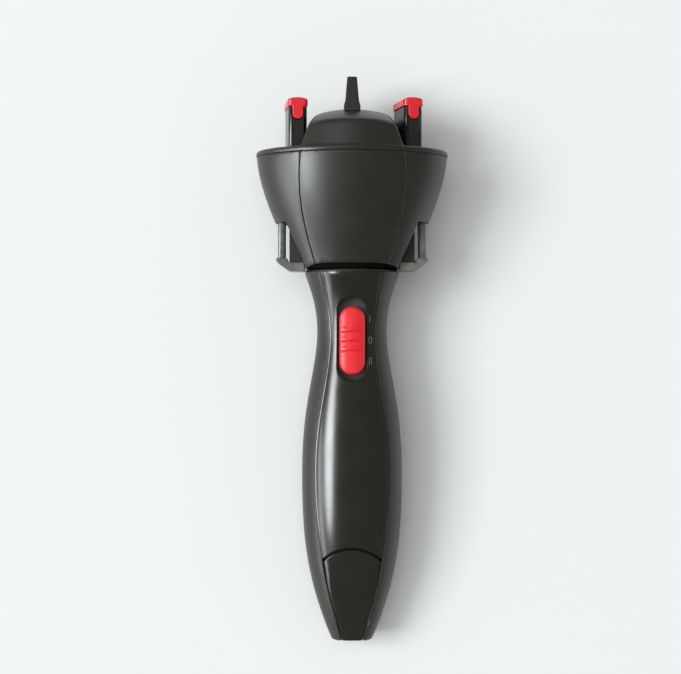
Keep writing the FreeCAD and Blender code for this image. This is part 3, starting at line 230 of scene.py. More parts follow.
def finish(name, colour, roughness, grain, grain_size=2.5e-4, drift=0.15, drift_size=0.012,
           metallic=0.0, level=0.5, stretch=(1, 1, 1)):
    """A plastic or metal. Grain is how high its grain stands, and sizes are in metres."""
    material = bpy.data.materials.new(name)
    material.use_nodes = True
    tree = material.node_tree
    shader = tree.nodes["Principled BSDF"]
    shader.inputs["Metallic"].default_value = metallic
    shader.inputs["Specular IOR Level"].default_value = level
    place = tree.nodes.new("ShaderNodeTexCoord")
    mapping = tree.nodes.new("ShaderNodeMapping")
    mapping.inputs["Scale"].default_value = stretch
    tree.links.new(place.outputs["Object"], mapping.inputs["Vector"])

    def noise(feature, detail):
        node = tree.nodes.new("ShaderNodeTexNoise")
        node.inputs["Scale"].default_value = 1 / feature
        node.inputs["Detail"].default_value = detail
        tree.links.new(mapping.outputs["Vector"], node.inputs["Vector"])
        return node.outputs["Fac"]

    slow = noise(drift_size, SLOW_DETAIL)
    colours = tree.nodes.new("ShaderNodeValToRGB")
    dark, light = colours.color_ramp.elements
    dark.position, light.position = NOISE_LOW, NOISE_HIGH
    dark.color = tuple(c * (1 - drift) for c in colour) + (1,)
    light.color = tuple(min(1, c * (1 + drift)) for c in colour) + (1,)
    tree.links.new(slow, colours.inputs["Fac"])
    tree.links.new(colours.outputs["Color"], shader.inputs["Base Color"])
    rough = tree.nodes.new("ShaderNodeMapRange")
    rough.inputs["From Min"].default_value = NOISE_LOW
    rough.inputs["From Max"].default_value = NOISE_HIGH
    rough.inputs["To Min"].default_value = max(SMOOTHEST, roughness * (1 - drift * ROUGHNESS_SHARE))
    rough.inputs["To Max"].default_value = min(1, roughness * (1 + drift * ROUGHNESS_SHARE))
    tree.links.new(slow, rough.inputs["Value"])
    tree.links.new(rough.outputs["Result"], shader.inputs["Roughness"])
    bump = tree.nodes.new("ShaderNodeBump")
    bump.inputs["Strength"].default_value = 1.0
    bump.inputs["Distance"].default_value = grain
    tree.links.new(noise(grain_size, FINE_DETAIL), bump.inputs["Height"])
    tree.links.new(bump.outputs["Normal"], shader.inputs["Normal"])
    return material


print("colour and roughness drift while the slow noise goes from", NOISE_LOW, "to", NOISE_HIGH)

# %% [markdown]
# ## Plastics and metals
# The panel is polished in its mould, the sides are satin, and the head has the
# coarsest grain. The levers are a greyer plastic that wears lighter, so they
# drift most; part of their grey is painted sheen, for the light they reflect.
# One shader with one colour could stand for all of them, but it is the
# difference between two blacks that tells the pieces apart. Each solid names
# its slot. A few get a finish of their own instead: what lies deep in the
# neck's groove is painted near black with hardly any gloss, as painted shade,
# and the plate under the switch is greyer. The marks are ink, which has no
# slot, so they take an ink finish of their own.

# %% Mix the finishes
RECIPES = {
    "front_gloss": dict(colour=(0.0110, 0.0106, 0.0078), roughness=0.23, grain=2e-6, grain_size=6e-4),
    "side_satin": dict(colour=(0.019, 0.019, 0.013), roughness=0.38, grain=1e-5),
    "head_satin": dict(colour=(0.0100, 0.0102, 0.0062), roughness=0.37, grain=2.4e-5,
                       grain_size=4.5e-4, level=0.62),
    "inner_black": dict(colour=(0.014, 0.014, 0.012), roughness=0.5, grain=8e-6),
    "plate_grey": dict(colour=(0.050, 0.050, 0.045), roughness=0.45, grain=8e-6),
    # neck_shade is painted shade: near black with almost no gloss, for the shade deep in the neck's groove.
    "neck_shade": dict(colour=(0.003, 0.003, 0.003), roughness=0.8, grain=8e-6, level=0.05),
    # The levers' grey is partly their own greyer, worn plastic and partly painted sheen for the light they
    # reflect.
    "lever_black": dict(colour=(0.125, 0.129, 0.117), roughness=0.32, grain=1.2e-5, level=0.8,
                        drift=0.35, drift_size=0.004),
    "sleeve_black": dict(colour=(0.016, 0.016, 0.014), roughness=0.24, grain=3e-6),
    "signal_red": dict(colour=(0.800, 0.020, 0.032), roughness=0.27, grain=2e-6, grain_size=6e-4,
                       drift=0.05),
    "gear_white": dict(colour=(0.80, 0.79, 0.74), roughness=0.45, grain=3e-6),
    "steel": dict(colour=(0.58, 0.58, 0.59), roughness=0.30, metallic=1.0, grain=3e-6,
                  stretch=(1, 0.1, 1)),
    "spring_steel": dict(colour=(0.64, 0.64, 0.63), roughness=0.24, metallic=1.0, grain=2e-6),
    "bush_brass": dict(colour=(0.70, 0.52, 0.24), roughness=0.28, metallic=1.0, grain=2e-6),
    "cell_jacket": dict(colour=(0.16, 0.17, 0.19), roughness=0.3, metallic=0.6, grain=1e-6),
    "mark_ink": dict(colour=(0.20, 0.20, 0.185), roughness=0.6, grain=2e-6),
    "lead_red_sleeve": dict(colour=(0.45, 0.02, 0.02), roughness=0.45, grain=2e-6),
    "lead_black_sleeve": dict(colour=(0.015, 0.015, 0.015), roughness=0.45, grain=2e-6),
}
FINISHES = {name: finish(name, **recipe) for name, recipe in RECIPES.items()}
OWN_FINISH = {
    # The neck collar and the chassis seen through the neck are painted near black as painted shade.
    "neck_collar": "neck_shade",
    "head_chassis": "neck_shade",
    "switch_plate": "plate_grey",
    "lever_block_left": "inner_black",
    "lever_block_right": "inner_black",
}
SLOT_OF = {part["node"]: part["material_slot"] for part in frame["record"]["subparts"]}
print("mixed", len(FINISHES), "finishes")

# %% [markdown]
# ## Rounded edges
# A mould can't make a knife edge, and a rounded edge is what catches a thin
# line of light along every seam. The solids come in sharp, in triangles whose
# corners aren't joined. Rounding each by hand would take days. Welding the
# corners and then bevelling every edge that turns by more than a set angle
# rounds them all, and leaves the smooth faces alone.

# %% Round and paint every solid
EDGE = {
    0.40: ("wing_left", "wing_right"),
    0.35: ("lever_block_left", "lever_block_right"),
    0.30: ("rear_shell", "lobe_left", "lobe_right"),
    0.25: ("battery_cover", "head_front_cover", "head_back_cover", "hook_sleeve_left",
           "hook_sleeve_right", "lever_post_left", "lever_post_right"),
    0.20: ("neck_collar",),
    0.15: ("switch_plate",),
}
RADIUS = {name: radius for radius, names in EDGE.items() for name in names}
TURN = math.radians(32)
WELD = 0.002 * MM
BEVEL_STEPS = 3


def round_edges(obj, radius):
    weld = obj.modifiers.new("weld", "WELD")
    weld.merge_threshold = WELD
    bevel = obj.modifiers.new("rounded", "BEVEL")
    bevel.width = radius * MM
    bevel.segments = BEVEL_STEPS
    bevel.limit_method = "ANGLE"
    bevel.angle_limit = TURN
    bevel.use_clamp_overlap = False
    bevel.harden_normals = True


for name, node in nodes.items():
    node.data.materials.clear()
    node.data.materials.append(FINISHES[OWN_FINISH.get(name, SLOT_OF[name])])
    if name in RADIUS:
        round_edges(node, RADIUS[name])
print("painted", len(nodes), "solids and rounded", len(RADIUS))

# %% [markdown]
# ## Feeling the solids
# A new skin has to lie exactly where the handle's own surface is. The solids
# can be felt like a body in the dark: a ray sent in from outside stops at the
# surface. Feeling every vertex would copy the small flats of the triangles, so
# only a few stations are felt, and a smooth curve is drawn through them.

# %% Rays and smooth curves
RIGHT, LEFT = Vector((1, 0, 0)), Vector((-1, 0, 0))
REAR, FRONT = Vector((0, 1, 0)), Vector((0, -1, 0))
UP, DOWN = Vector((0, 0, 1)), Vector((0, 0, -1))
END_GUARD = 1.0001


def feeler(*names):
    """A search tree of some solids, in upright millimetres."""
    points, faces = [], []
    for name in names:
        mesh = nodes[name].data
        first = len(points)
        points += [TO_UPRIGHT @ vertex.co for vertex in mesh.vertices]
        faces += [[first + corner for corner in face.vertices] for face in mesh.polygons]
    return BVHTree.FromPolygons(points, faces)


def touch(tree, start, way):
    return tree.ray_cast(Vector(start), way)[0]


def curve_through(stations, values):
    """A function that runs smoothly through evenly spaced values."""
    low, step = stations[0], stations[1] - stations[0]

    def at(z):
        place = min(max((z - low) / step, 0), len(values) - END_GUARD)
        index, share = int(place), place - int(place)
        p0, p1, p2, p3 = (values[min(max(index + k, 0), len(values) - 1)] for k in (-1, 0, 1, 2))
        if index == 0:
            p0 = 2 * p1 - p2
        if index + 2 >= len(values):
            p3 = 2 * p2 - p1
        bend = (2 * p0 - 5 * p1 + 4 * p2 - p3) * share ** 2 + (3 * p1 - p0 - 3 * p2 + p3) * share ** 3
        return p1 + 0.5 * ((p2 - p0) * share + bend)
    return at


print("half way from 1 to 4 on a bent line: %.2f" % curve_through((0, 1, 2), (1, 4, 9))(0.5))

# %% [markdown]
# ## The handle's own curves
# The handle is an oval everywhere, and only its half width and its half depth
# change from tail to brim. Two curves hold them. A third holds how far out the
# seam between panel and rear shell runs; its ray has to start just below the
# skin, whose depth depends on the seam, so a guess is tried again a few times.

# %% Feel the handle
FAR = 60.0
STATION = 9.0
END_MARGIN = 0.4
BESIDE_JOIN = 0.5
SEAM_GUESS = 0.7
SEAM_DEPTH = 1.2
SETTLE = 4
side_feeler = feeler("rear_shell")
back_feeler = feeler("rear_shell", "battery_cover")
front_feeler = feeler("front_shell")
brim = max(heights) / MM - min(heights) / MM
count = round(brim / STATION)
stations = [END_MARGIN + (brim - 2 * END_MARGIN) * number / count for number in range(count + 1)]
half_wides = [touch(side_feeler, (FAR, BESIDE_JOIN, z), LEFT).x for z in stations]
half_deeps = [touch(back_feeler, (0, FAR, z), FRONT).y for z in stations]
wide_at, deep_at = curve_through(stations, half_wides), curve_through(stations, half_deeps)


def shell_y(x, z):
    """How far in front of the axis the handle's oval skin lies."""
    return -deep_at(z) * math.sqrt(max(0.0, 1 - (x / wide_at(z)) ** 2))


def seam_at_station(z):
    seam = SEAM_GUESS * wide_at(z)
    for _ in range(SETTLE):
        seam = touch(front_feeler, (FAR, shell_y(seam, z) + SEAM_DEPTH, z), LEFT).x
    return seam


seams = [seam_at_station(z) for z in stations]
seam_at = curve_through(stations, seams)
print("brim at %.1f, half width up to %.2f, seam up to %.2f" % (brim, max(half_wides), max(seams)))

# %% [markdown]
# ## The polished front panel
# The panel is one moulding: a long glossy lid with the switch's opening near
# its top and a thumb rest under an arched lip near its tail. Gloss forgives
# nothing, and the solid's bare triangles would show as facets, so the panel is
# woven anew from rows and columns of four-sided faces. One formula gives each
# crossing its place. It bends the rows into the arch where the lip is, and
# lets the skin drop there from the handle's oval to the flatter thumb rest.

# %% The thumb rest's sizes
ARCH_TOP = 41.3
ARCH_ROUND = 17.0
ARCH_REACH = 32.0
ARCH_STRAIGHT = 0.93
REST_FLAT = 1.4
REST_SINK = 0.8
REST_START = 6.0
REST_BLEND = 0.7
STEP_LEAD = 0.1
STEP_WIDE = 0.7
GROOVE_LOW = 0.95
GROOVE_WIDE = 0.42
GROOVE_DEEP = 1.3
GROOVE_MIDDLE = 0.7
GROOVE_GAIN = 0.5
VALLEY = 0.15
VALLEY_START = 0.93
PANEL_GAP = 0.10
PANEL_EDGE = 0.45
FELT_LOW = 4.0
FELT_HIGH = 33.0
drops = [deep_at(z) + touch(front_feeler, (0, -FAR, z), REAR).y for z in (FELT_LOW, FELT_HIGH)]
print("the thumb rest lies %.2f to %.2f mm below the oval" % tuple(drops))


# %% A place on the panel
def smooth(low, high, value):
    """0 at one end, 1 at the other, level at both; the ends may come in either order."""
    share = min(max((value - low) / (high - low), 0), 1)
    return share * share * (3 - 2 * share)


def arch_sink(x):
    """How far the arched lip has come down beside the middle."""
    reach = min(abs(x), ARCH_STRAIGHT * ARCH_ROUND)
    return ARCH_ROUND - math.sqrt(ARCH_ROUND ** 2 - reach ** 2)


def rest_y(x, z):
    """The flatter, lower skin of the thumb rest."""
    drop = drops[0] + (drops[1] - drops[0]) * (z - FELT_LOW) / (FELT_HIGH - FELT_LOW)
    flat = -(deep_at(z) - drop) * math.sqrt(max(0.0, 1 - (x / (REST_FLAT * wide_at(z))) ** 2))
    shell = shell_y(x, z)
    return (flat + shell + math.sqrt((flat - shell) ** 2 + REST_BLEND ** 2)) / 2


def panel_point(across, along):
    """A point of the panel from its column, -1 to 1, and its row, a height on the axis."""
    fade = smooth(ARCH_REACH, 0, abs(along - ARCH_TOP))
    z = along
    for _ in range(SETTLE):
        x = across * (seam_at(z) - PANEL_GAP - PANEL_EDGE)
        z = along - arch_sink(x) * fade
    below = smooth(ARCH_TOP + STEP_LEAD, ARCH_TOP - STEP_WIDE, along)
    rest = max(rest_y(x, z), shell_y(x, z) + REST_SINK * smooth(REST_START, ARCH_TOP, along))
    y = shell_y(x, z) * (1 - below) + rest * below
    groove = math.exp(-((along - ARCH_TOP + GROOVE_LOW) / GROOVE_WIDE) ** 2)
    y += GROOVE_DEEP * (GROOVE_MIDDLE + GROOVE_GAIN * across * across) * groove
    y += VALLEY * smooth(VALLEY_START, 1, abs(across))
    return Vector((x, y, z))


print("middle of the panel at the lip:", [round(v, 2) for v in panel_point(0, ARCH_TOP)])

# %% [markdown]
# ## Rows and columns
# The mesh needs small faces only where the skin bends quickly: at the arched
# lip, round the opening and along the seam. A subdivision surface would make
# them small everywhere, so the rows and columns are simply laid closer there.
# The opening is felt first, because its rows depend on where it is.

# %% Feel the switch opening
OPENING_GUESS = 128.5
IN_OPENING = -11.5
BESIDE_SLIDER = 5.0
plate_y = touch(feeler("switch_plate"), (BESIDE_SLIDER, -FAR, OPENING_GUESS), REAR).y
opening_wide = touch(front_feeler, (0, IN_OPENING, OPENING_GUESS), RIGHT).x
opening_top = touch(front_feeler, (0, IN_OPENING, OPENING_GUESS), UP).z
opening_low = touch(front_feeler, (0, IN_OPENING, OPENING_GUESS), DOWN).z
OPENING_Z = (opening_top + opening_low) / 2
OPENING_REACH = (opening_top - opening_low) / 2 - opening_wide
print("opening %.1f by %.1f at %.1f" % (2 * opening_wide, opening_top - opening_low, OPENING_Z))

# %% Rows and columns
OPENING_COLUMNS = 0.80
OPENING_ROOM = 3.0
ARCH_ROWS = (ARCH_TOP - 3.0, ARCH_TOP + 1.0)
TAIL_GAP = 0.1
ROW_STEP = 1.5
ROW_STEP_ARCH = 0.16
ROW_STEP_OPENING = 0.9
COLUMN_STEP = 0.05
COLUMN_STEP_SEAM = 0.03


def spread(low, high, step):
    """Even places from low up to, but without, high."""
    number = max(1, round((high - low) / step))
    return [low + (high - low) * index / number for index in range(number)]


opening_rows = (OPENING_Z - OPENING_REACH - opening_wide - OPENING_ROOM,
                OPENING_Z + OPENING_REACH + opening_wide + OPENING_ROOM)
rows = spread(PANEL_EDGE + TAIL_GAP, ARCH_ROWS[0], ROW_STEP) + spread(*ARCH_ROWS, ROW_STEP_ARCH)
rows += spread(ARCH_ROWS[1], opening_rows[0], ROW_STEP) + spread(*opening_rows, ROW_STEP_OPENING)
rows += spread(opening_rows[1], brim - PANEL_EDGE, ROW_STEP) + [brim - PANEL_EDGE]
columns = spread(-1, -OPENING_COLUMNS, COLUMN_STEP_SEAM)
columns += spread(-OPENING_COLUMNS, OPENING_COLUMNS, COLUMN_STEP)
columns += spread(OPENING_COLUMNS, 1, COLUMN_STEP_SEAM) + [1]
print(len(rows), "rows and", len(columns), "columns")

# %% Weave the grid
panel = bmesh.new()
grid = [[panel_point(column, row) for column in columns] for row in rows]


def nearest(places, wanted):
    """The number of the place that lies nearest to the wanted one."""
    return min(range(len(places)), key=lambda number: abs(places[number] - wanted))


left, right = nearest(columns, -OPENING_COLUMNS), nearest(columns, OPENING_COLUMNS)
low_row, high_row = nearest(rows, opening_rows[0]), nearest(rows, opening_rows[1])
woven = [[None] * len(columns) for _ in rows]
for r, row in enumerate(grid):
    for c, point in enumerate(row):
        if not (low_row < r < high_row and left < c < right):
            woven[r][c] = panel.verts.new(point)
for r in range(len(rows) - 1):
    for c in range(len(columns) - 1):
        if not (low_row <= r < high_row and left <= c < right):
            panel.faces.new((woven[r][c], woven[r][c + 1], woven[r + 1][c + 1], woven[r + 1][c]))
print("wove", len(panel.faces), "faces round the opening")

# %% [markdown]
# ## The switch opening
# The opening is a long oval with a rounded lip and walls down to the plate.
# Cutting it out with a boolean would leave long thin faces round it that catch
# the light. Instead the grid has a rectangle missing, and rings of vertices
# turn that rectangle step by step into the oval, over the lip and down.

# %% Rings into the opening
LIP = 0.45
OVAL_SHARES = (0.3, 0.6, 0.85, 1.0)
LIP_TURNS = (25, 50, 75, 90)
WELL_SHARES = (0.35, 0.7, 1.0)
PLATE_COVER = 0.1


def oval_ring(places, radius, depth):
    """Places pulled onto the opening's oval and sunk below the skin."""
    ring = []
    for place in places:
        middle_z = min(max(place.z, OPENING_Z - OPENING_REACH), OPENING_Z + OPENING_REACH)
        middle = Vector((0, 0, middle_z))
        way = Vector((place.x, 0, place.z)) - middle
        spot = middle + way.normalized() * radius
        spot.y = shell_y(spot.x, spot.z) + depth
        ring.append(spot)
    return ring


def skin_rings(builder, rings, closed=True):
    """Faces between rings of vertices."""
    for inner, outer in zip(rings, rings[1:]):
        number = len(inner)
        for index in range(number if closed else number - 1):
            after = (index + 1) % number
            builder.faces.new((inner[index], inner[after], outer[after], outer[index]))


loop = [(low_row, c) for c in range(left, right)] + [(r, right) for r in range(low_row, high_row)]
loop += [(high_row, c) for c in range(right, left, -1)] + [(r, left) for r in range(high_row, low_row, -1)]
outer = [woven[r][c] for r, c in loop]
start = [vertex.co.copy() for vertex in outer]
oval = oval_ring(start, opening_wide + LIP, 0)
rings = [outer]
for share in OVAL_SHARES:
    ring = [a.lerp(b, share) for a, b in zip(start, oval)]
    rings.append([panel.verts.new((p.x, shell_y(p.x, p.z), p.z)) for p in ring])
for turn in map(math.radians, LIP_TURNS):
    ring = oval_ring(start, opening_wide + LIP * (1 - math.sin(turn)), LIP * (1 - math.cos(turn)))
    rings.append([panel.verts.new(p) for p in ring])
shelf = oval_ring(start, opening_wide, LIP)
for share in WELL_SHARES:
    rings.append([panel.verts.new((p.x, p.y + (plate_y - PLATE_COVER - p.y) * share, p.z)) for p in shelf])
skin_rings(panel, rings[::-1])
print(len(rings), "rings of", len(outer), "places")

# %% [markdown]
# ## The panel's border
# The panel has no visible thickness until its border turns down into the seam.
# A solidify modifier would give it walls, but with a hard corner. The border is
# rolled outward along a quarter circle and then dropped as a skirt, so the seam
# is a dark line between two rounded edges. At the tail the same skin turns down
# again, to close the end of the handle.

# %% Roll the border and close the tail
SKIRT = 2.2
EDGE_TURNS = (22, 45, 68, 90)
TAIL_INSET = 0.3
TAIL_REACH = -0.6
edge = [(0, c) for c in range(len(columns) - 1)] + [(r, len(columns) - 1) for r in range(len(rows) - 1)]
edge += [(len(rows) - 1, c) for c in range(len(columns) - 1, 0, -1)]
edge += [(r, 0) for r in range(len(rows) - 1, 0, -1)]
border = [woven[r][c] for r, c in edge]


def border_ring(out, depth):
    """The panel's border moved outward in its own plane and down into the seam."""
    ring = []
    number = len(border)
    for index, vertex in enumerate(border):
        way = border[(index + 1) % number].co - border[index - 1].co
        way = Vector((way.z, 0, -way.x)).normalized()
        ring.append(panel.verts.new(vertex.co + way * out + Vector((0, depth, 0))))
    return ring


skirt = [border]
for turn in map(math.radians, EDGE_TURNS):
    skirt.append(border_ring(PANEL_EDGE * math.sin(turn), PANEL_EDGE * (1 - math.cos(turn))))
skirt.append(border_ring(PANEL_EDGE, SKIRT))
skin_rings(panel, skirt)
tail_step = Vector((0, PANEL_EDGE, -TAIL_INSET))
tail_rows = [[panel.verts.new(vertex.co + tail_step) for vertex in woven[0]]]
tail_rows.append([panel.verts.new((vertex.co.x, TAIL_REACH, vertex.co.z)) for vertex in tail_rows[0]])
skin_rings(panel, tail_rows, closed=False)
print("the border has", len(border), "places")


# %% Finish the panel
def smooth_piece(name, builder, slot, body):
    """Finish a woven piece: place it, shade it smoothly, paint it and let it ride."""
    builder.transform(UPRIGHT)
    bmesh.ops.recalc_face_normals(builder, faces=builder.faces)
    for face in builder.faces:
        face.smooth = True
    obj = mesh_object(name, builder)
    obj.data.materials.append(FINISHES[slot])
    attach(obj, body)
    print(name, "has", len(obj.data.polygons), "faces and rides on the", body)
    return obj


front_panel = smooth_piece("front_panel", panel, "front_gloss", "handle")
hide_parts("front_shell")

# %% [markdown]
# ## The lip beside the panel
# The side bands end in a fine rolled lip along the panel, and it is this lip
# that draws a thin light line down the handle. A bevel on the shell's edge
# would be broken by the small flats of its triangles, so the lip is its own
# strip. Seven lines of vertices, each a little further from the seam, make its
# section, and every line follows the seam.

# %% Lay the two lips
LIP_SECTION = ((-0.06, 0.50), (-0.06, 0.12), (-0.02, 0.03), (0.08, -0.03),
               (0.25, -0.05), (0.50, -0.04), (0.80, 0.05))
LIP_MARGIN = 0.3
LIP_STEP = 1.0
lips = bmesh.new()
lip_rows = spread(LIP_MARGIN, brim - LIP_MARGIN, LIP_STEP) + [brim - LIP_MARGIN]
for side in (-1, 1):
    lip_lines = []
    for out, depth in LIP_SECTION:
        places = [(side * (seam_at(z) + out), z) for z in lip_rows]
        lip_lines.append([lips.verts.new((x, shell_y(x, z) + depth, z)) for x, z in places])
    skin_rings(lips, lip_lines, closed=False)
smooth_piece("seam_lips", lips, "side_satin", "handle")

# %% [markdown]
# ## The rounded shoulder of the neck
# Where the handle ends under the spinning head, its brim rolls inward to a
# dark shoulder that closes the bearing. A lathe would make it round, but the
# brim is an oval, so rings of the same oval shrink along a quarter circle.

# %% Roll the shoulder
SHOULDER = 0.9
SHOULDER_STEPS = 8
SHOULDER_INSET = 0.25
SHOULDER_INNER = 4.0
SHOULDER_ROOT = -0.8
OVAL_SIDES = 96
shoulder = bmesh.new()
quarter = [math.pi / 2 * number / SHOULDER_STEPS for number in range(SHOULDER_STEPS + 1)]
profile = [(SHOULDER_INSET, SHOULDER_ROOT)]
profile += [(SHOULDER_INSET + SHOULDER * (1 - math.cos(t)), SHOULDER * math.sin(t)) for t in quarter]
profile += [(SHOULDER_INNER, SHOULDER), (SHOULDER_INNER, SHOULDER_ROOT)]
turns = [2 * math.pi * number / OVAL_SIDES for number in range(OVAL_SIDES)]
shoulder_rings = []
for inset, rise in profile:
    wide, deep = wide_at(brim) - inset, deep_at(brim) - inset
    places = [(wide * math.cos(t), deep * math.sin(t), brim + rise) for t in turns]
    shoulder_rings.append([shoulder.verts.new(place) for place in places])
skin_rings(shoulder, shoulder_rings + shoulder_rings[:1])
smooth_piece("brim_shoulder", shoulder, "side_satin", "handle")

# %% [markdown]
# ## Remoulded covers and caps
# The top cover, the divider and the hook caps are soft-cornered mouldings, more
# rounded than a bevel can make them, because their edges meet at sharp tips. A
# block of wax would be pressed from the same solid and then rubbed down. The
# voxel remesher presses such a block, and smoothing rubs the corners round.

# %% Press and rub
RUB = 0.5
COVER_VOXEL = 0.42
COVER_RUBS = 2
CROWN_RUBS = ((212.0, 6), (215.0, 16), (217.5, 40), (219.5, 60))
FIN_VOXEL = 0.25
FIN_RUBS = 5
CAP_VOXEL = 0.16
CAP_RUBS = 12


def rub(wax, vertices, times):
    for _ in range(times):
        bmesh.ops.smooth_vert(wax, verts=vertices, factor=RUB, use_axis_x=True, use_axis_y=True,
                              use_axis_z=True)


def remould(name, new_name, voxel, rubs, high_rubs=()):
    """A soft-cornered copy of a solid, in its place and on its body."""
    pressed = link(bpy.data.objects.new(new_name + "_press", nodes[name].data.copy()))
    weld = pressed.modifiers.new("weld", "WELD")
    weld.merge_threshold = WELD
    press = pressed.modifiers.new("press", "REMESH")
    press.mode = "VOXEL"
    press.voxel_size = voxel * MM
    wax = bmesh.new()
    wax.from_object(pressed, bpy.context.evaluated_depsgraph_get())
    bpy.data.objects.remove(pressed)
    wax.transform(TO_UPRIGHT)
    rub(wax, wax.verts, rubs)
    for low, times in high_rubs:
        rub(wax, [vertex for vertex in wax.verts if vertex.co.z > low], times)
    bodies = frame["record"]["behaviour"]["bodies"]
    body = next(body for body, members in bodies.items() if name in members)
    piece = smooth_piece(new_name, wax, SLOT_OF[name], body)
    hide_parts(name)


remould("head_top_cover", "top_cover", COVER_VOXEL, COVER_RUBS, CROWN_RUBS)
remould("divider_fin", "divider", FIN_VOXEL, FIN_RUBS)
for side in ("left", "right"):
    remould("hook_tip_" + side, "hook_cap_" + side, CAP_VOXEL, CAP_RUBS)

# %% [markdown]
# ## The return springs
# Each lever is pushed down by a coil spring under the gear deck. When a thumb
# lifts the lever, the spring has to shorten, or the lever would cut through
# it. Here each coil only becomes a welded piece with a mesh of its own that
# rides on the head; nothing squashes it as its lever rises.

# %% Copy the springs
for side in ("left", "right"):
    coil = bmesh.new()
    coil.from_mesh(nodes["return_spring_" + side].data)
    bmesh.ops.remove_doubles(coil, verts=coil.verts, dist=WELD)
    coil.transform(TO_UPRIGHT)
    spring = smooth_piece("spring_coil_" + side, coil, "spring_steel", "head")
    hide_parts("return_spring_" + side)
    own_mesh(spring)

# %% [markdown]
# ## The switch slider
# The red slider is a soft-edged pill with a fine raised line along its border
# and three thumb ribs, each a small wave that rises slowly and drops steeply.
# Modelling that by hand means many edge loops. Here rings of vertices shrink
# from the border to the spine of the pill, and one height formula of the place
# on its face lifts them: a rounded border, the bead, and a wave for each rib.

# %% The slider's sizes
SIDE_PLAY = 0.05
FACE_BACK = 0.70
BORDER_ROUND = 1.5
BEAD_AT = 0.95
BEAD_WIDE = 0.20
BEAD_HIGH = 0.09
FIELD_AT = 1.5
FIELD_SINK = 0.05
CROWN = 0.045
slider_low, slider_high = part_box("switch_slider")
slider_wide = slider_high.x - slider_low.x
slider_points = [TO_UPRIGHT @ vertex.co for vertex in nodes["switch_slider"].data.vertices]
slider_heights = [point.z for point in slider_points]
SLIDER_HALF = slider_wide / MM / 2 - SIDE_PLAY
SLIDER_TOP = min(point.y for point in slider_points) + FACE_BACK
SLIDER_Z = (max(slider_heights) + min(slider_heights)) / 2
SPINE = (max(slider_heights) - min(slider_heights)) / 2 - slider_wide / MM / 2
print("slider %.1f by %.1f mm" % (2 * SLIDER_HALF, 2 * (SLIDER_HALF + SPINE)))

# %% Heights of the slider's face
RIB_PITCH = 3.95
RIB_RAISE = 0.35
RIB_HIGH = 0.70
RIB_RISE = 2.2
RIB_DROP = 0.42
RIB_FOOT = 0.55
RIB_FOOT_WIDE = 0.24
RIB_FOOT_DEEP = 0.60
RIB_DOME = 1.0
RIB_BOWS = (0.10, 0.35, 0.75)


def rib_wave(fall):
    """Height of one rib from how far below its crest a place lies."""
    if fall < 0:
        return RIB_HIGH * smooth(-RIB_RISE, 0, fall)
    foot = RIB_FOOT_DEEP * math.exp(-((fall - RIB_FOOT) / RIB_FOOT_WIDE) ** 2)
    return RIB_HIGH * (1 - smooth(0, RIB_DROP, fall)) - foot


def slider_lift(x, z, inset):
    """How far the face stands out, from its place and its distance from the border."""
    lift = -BORDER_ROUND + math.sqrt(max(0, BORDER_ROUND ** 2 - max(0, BORDER_ROUND - inset) ** 2))
    bead = BEAD_HIGH * math.exp(-((inset - BEAD_AT) / BEAD_WIDE) ** 2)
    lift += bead - FIELD_SINK * smooth(BEAD_AT, FIELD_AT, inset)
    lift -= CROWN * x * x
    for number, bow in enumerate(RIB_BOWS):
        crest = SLIDER_Z + RIB_RAISE + RIB_PITCH * (1 - number) - bow * (x / SLIDER_HALF) ** 2
        lift += rib_wave(crest - z) * (1 - RIB_DOME * (x / SLIDER_HALF) ** 2)
    return lift


print("the middle rib stands %.2f mm high" % rib_wave(0))

# %% Weave the slider
PILL_STEP = 0.22
WALL_DEPTHS = (4.6, 3.0, 2.0)
INSETS = (0, 0.04, 0.12, 0.25, 0.42, 0.60, 0.75, 0.85, 0.95, 1.05, 1.15, 1.35, 1.6, 2.0, 2.6, 3.3, 4.1, 4.9)


def pill_outline(half, spine, step):
    """Places round a pill: straight sides and round ends, from the right side upward."""
    sides_up = [Vector((half, 0, z)) for z in spread(-spine, spine, step)]
    turns = spread(0, math.pi, step / half)
    top = [Vector((half * math.cos(t), 0, spine + half * math.sin(t))) for t in turns]
    return sides_up + top + [-place for place in sides_up + top]


slider = bmesh.new()
outline = pill_outline(SLIDER_HALF, SPINE, PILL_STEP)
slider_rings = []
for depth in WALL_DEPTHS:
    slider_rings.append([slider.verts.new((p.x, SLIDER_TOP + depth, p.z + SLIDER_Z)) for p in outline])
for inset in INSETS:
    ring = []
    for place in outline:
        middle = Vector((0, 0, min(max(place.z, -SPINE), SPINE)))
        spot = middle + (place - middle) * (1 - inset / SLIDER_HALF)
        lift = slider_lift(spot.x, spot.z + SLIDER_Z, inset)
        ring.append(slider.verts.new((spot.x, SLIDER_TOP - lift, spot.z + SLIDER_Z)))
    slider_rings.append(ring)
skin_rings(slider, slider_rings)
print(len(slider_rings), "rings of", len(outline), "places")

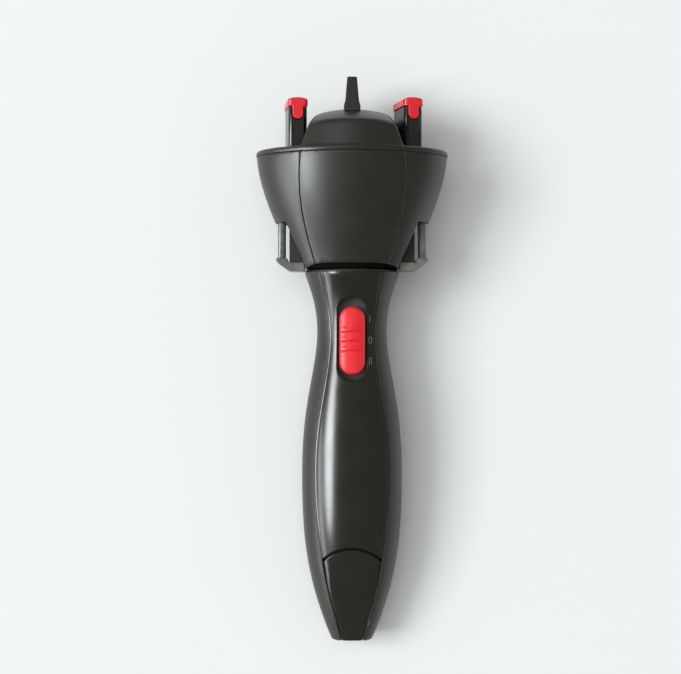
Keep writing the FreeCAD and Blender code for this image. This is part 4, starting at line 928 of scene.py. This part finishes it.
# %% Close and finish the slider
inner = slider_rings[-1]
number = len(inner)
half_way = number // 2
spine_count = len(spread(-SPINE, SPINE, PILL_STEP))
for index in range(spine_count):
    facing = (half_way + spine_count - index) % number
    after_facing = (half_way + spine_count - index - 1) % number
    slider.faces.new((inner[index], inner[(index + 1) % number], inner[after_facing], inner[facing]))
for cap in (inner[spine_count:half_way + 1], inner[half_way + spine_count:] + inner[:1]):
    slider.faces.new(cap)
slider.faces.new(slider_rings[0])
bmesh.ops.triangulate(slider, faces=[face for face in slider.faces if len(face.verts) > 4])
thumb_slider = smooth_piece("thumb_slider", slider, "signal_red", "slider")
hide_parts("switch_slider")

# %% [markdown]
# ## Switch marks
# Beside the opening stand the plain marks of a three-way switch: a bar, a ring
# and two bars. They are printed in pale ink. A picture laid on the panel could
# show them, but ink has an edge, so each mark is a film that follows the
# panel's skin and stands a hair proud of it, as pad printing does.

# %% Print the marks
INK = 0.03
STROKE = 0.24
MARK_TALL = 3.0
MARK_JOIN = 0.001
BAR_STEPS = 6
RING_STEPS = 32
RING_HALF = 0.60
BARS = ((7.45, 137.0), (7.25, 119.3), (8.15, 119.3))
RING = (7.65, 127.9)
marks = bmesh.new()


def ink_strip(inner_side, outer_side):
    """A film between two lines of places on the panel."""
    lines = []
    for line in (inner_side, outer_side):
        lines.append([marks.verts.new((x, shell_y(x, z) - INK, z)) for x, z in line])
    skin_rings(marks, lines, closed=False)


def bar_mark(x, z):
    steps = [z - MARK_TALL / 2 + MARK_TALL * n / BAR_STEPS for n in range(BAR_STEPS + 1)]
    ink_strip([(x - STROKE / 2, step) for step in steps], [(x + STROKE / 2, step) for step in steps])


def ring_mark(x, z, half_wide, half_tall):
    turns = [2 * math.pi * n / RING_STEPS for n in range(RING_STEPS + 1)]
    ink_strip(*[[(x + (half_wide + grow) * math.cos(t), z + (half_tall + grow) * math.sin(t)) for t in turns]
                for grow in (-STROKE / 2, STROKE / 2)])


for place in BARS:
    bar_mark(*place)
ring_mark(*RING, RING_HALF, MARK_TALL / 2 - STROKE / 2)
bmesh.ops.remove_doubles(marks, verts=marks.verts, dist=MARK_JOIN)
smooth_piece("switch_marks", marks, "mark_ink", "handle")
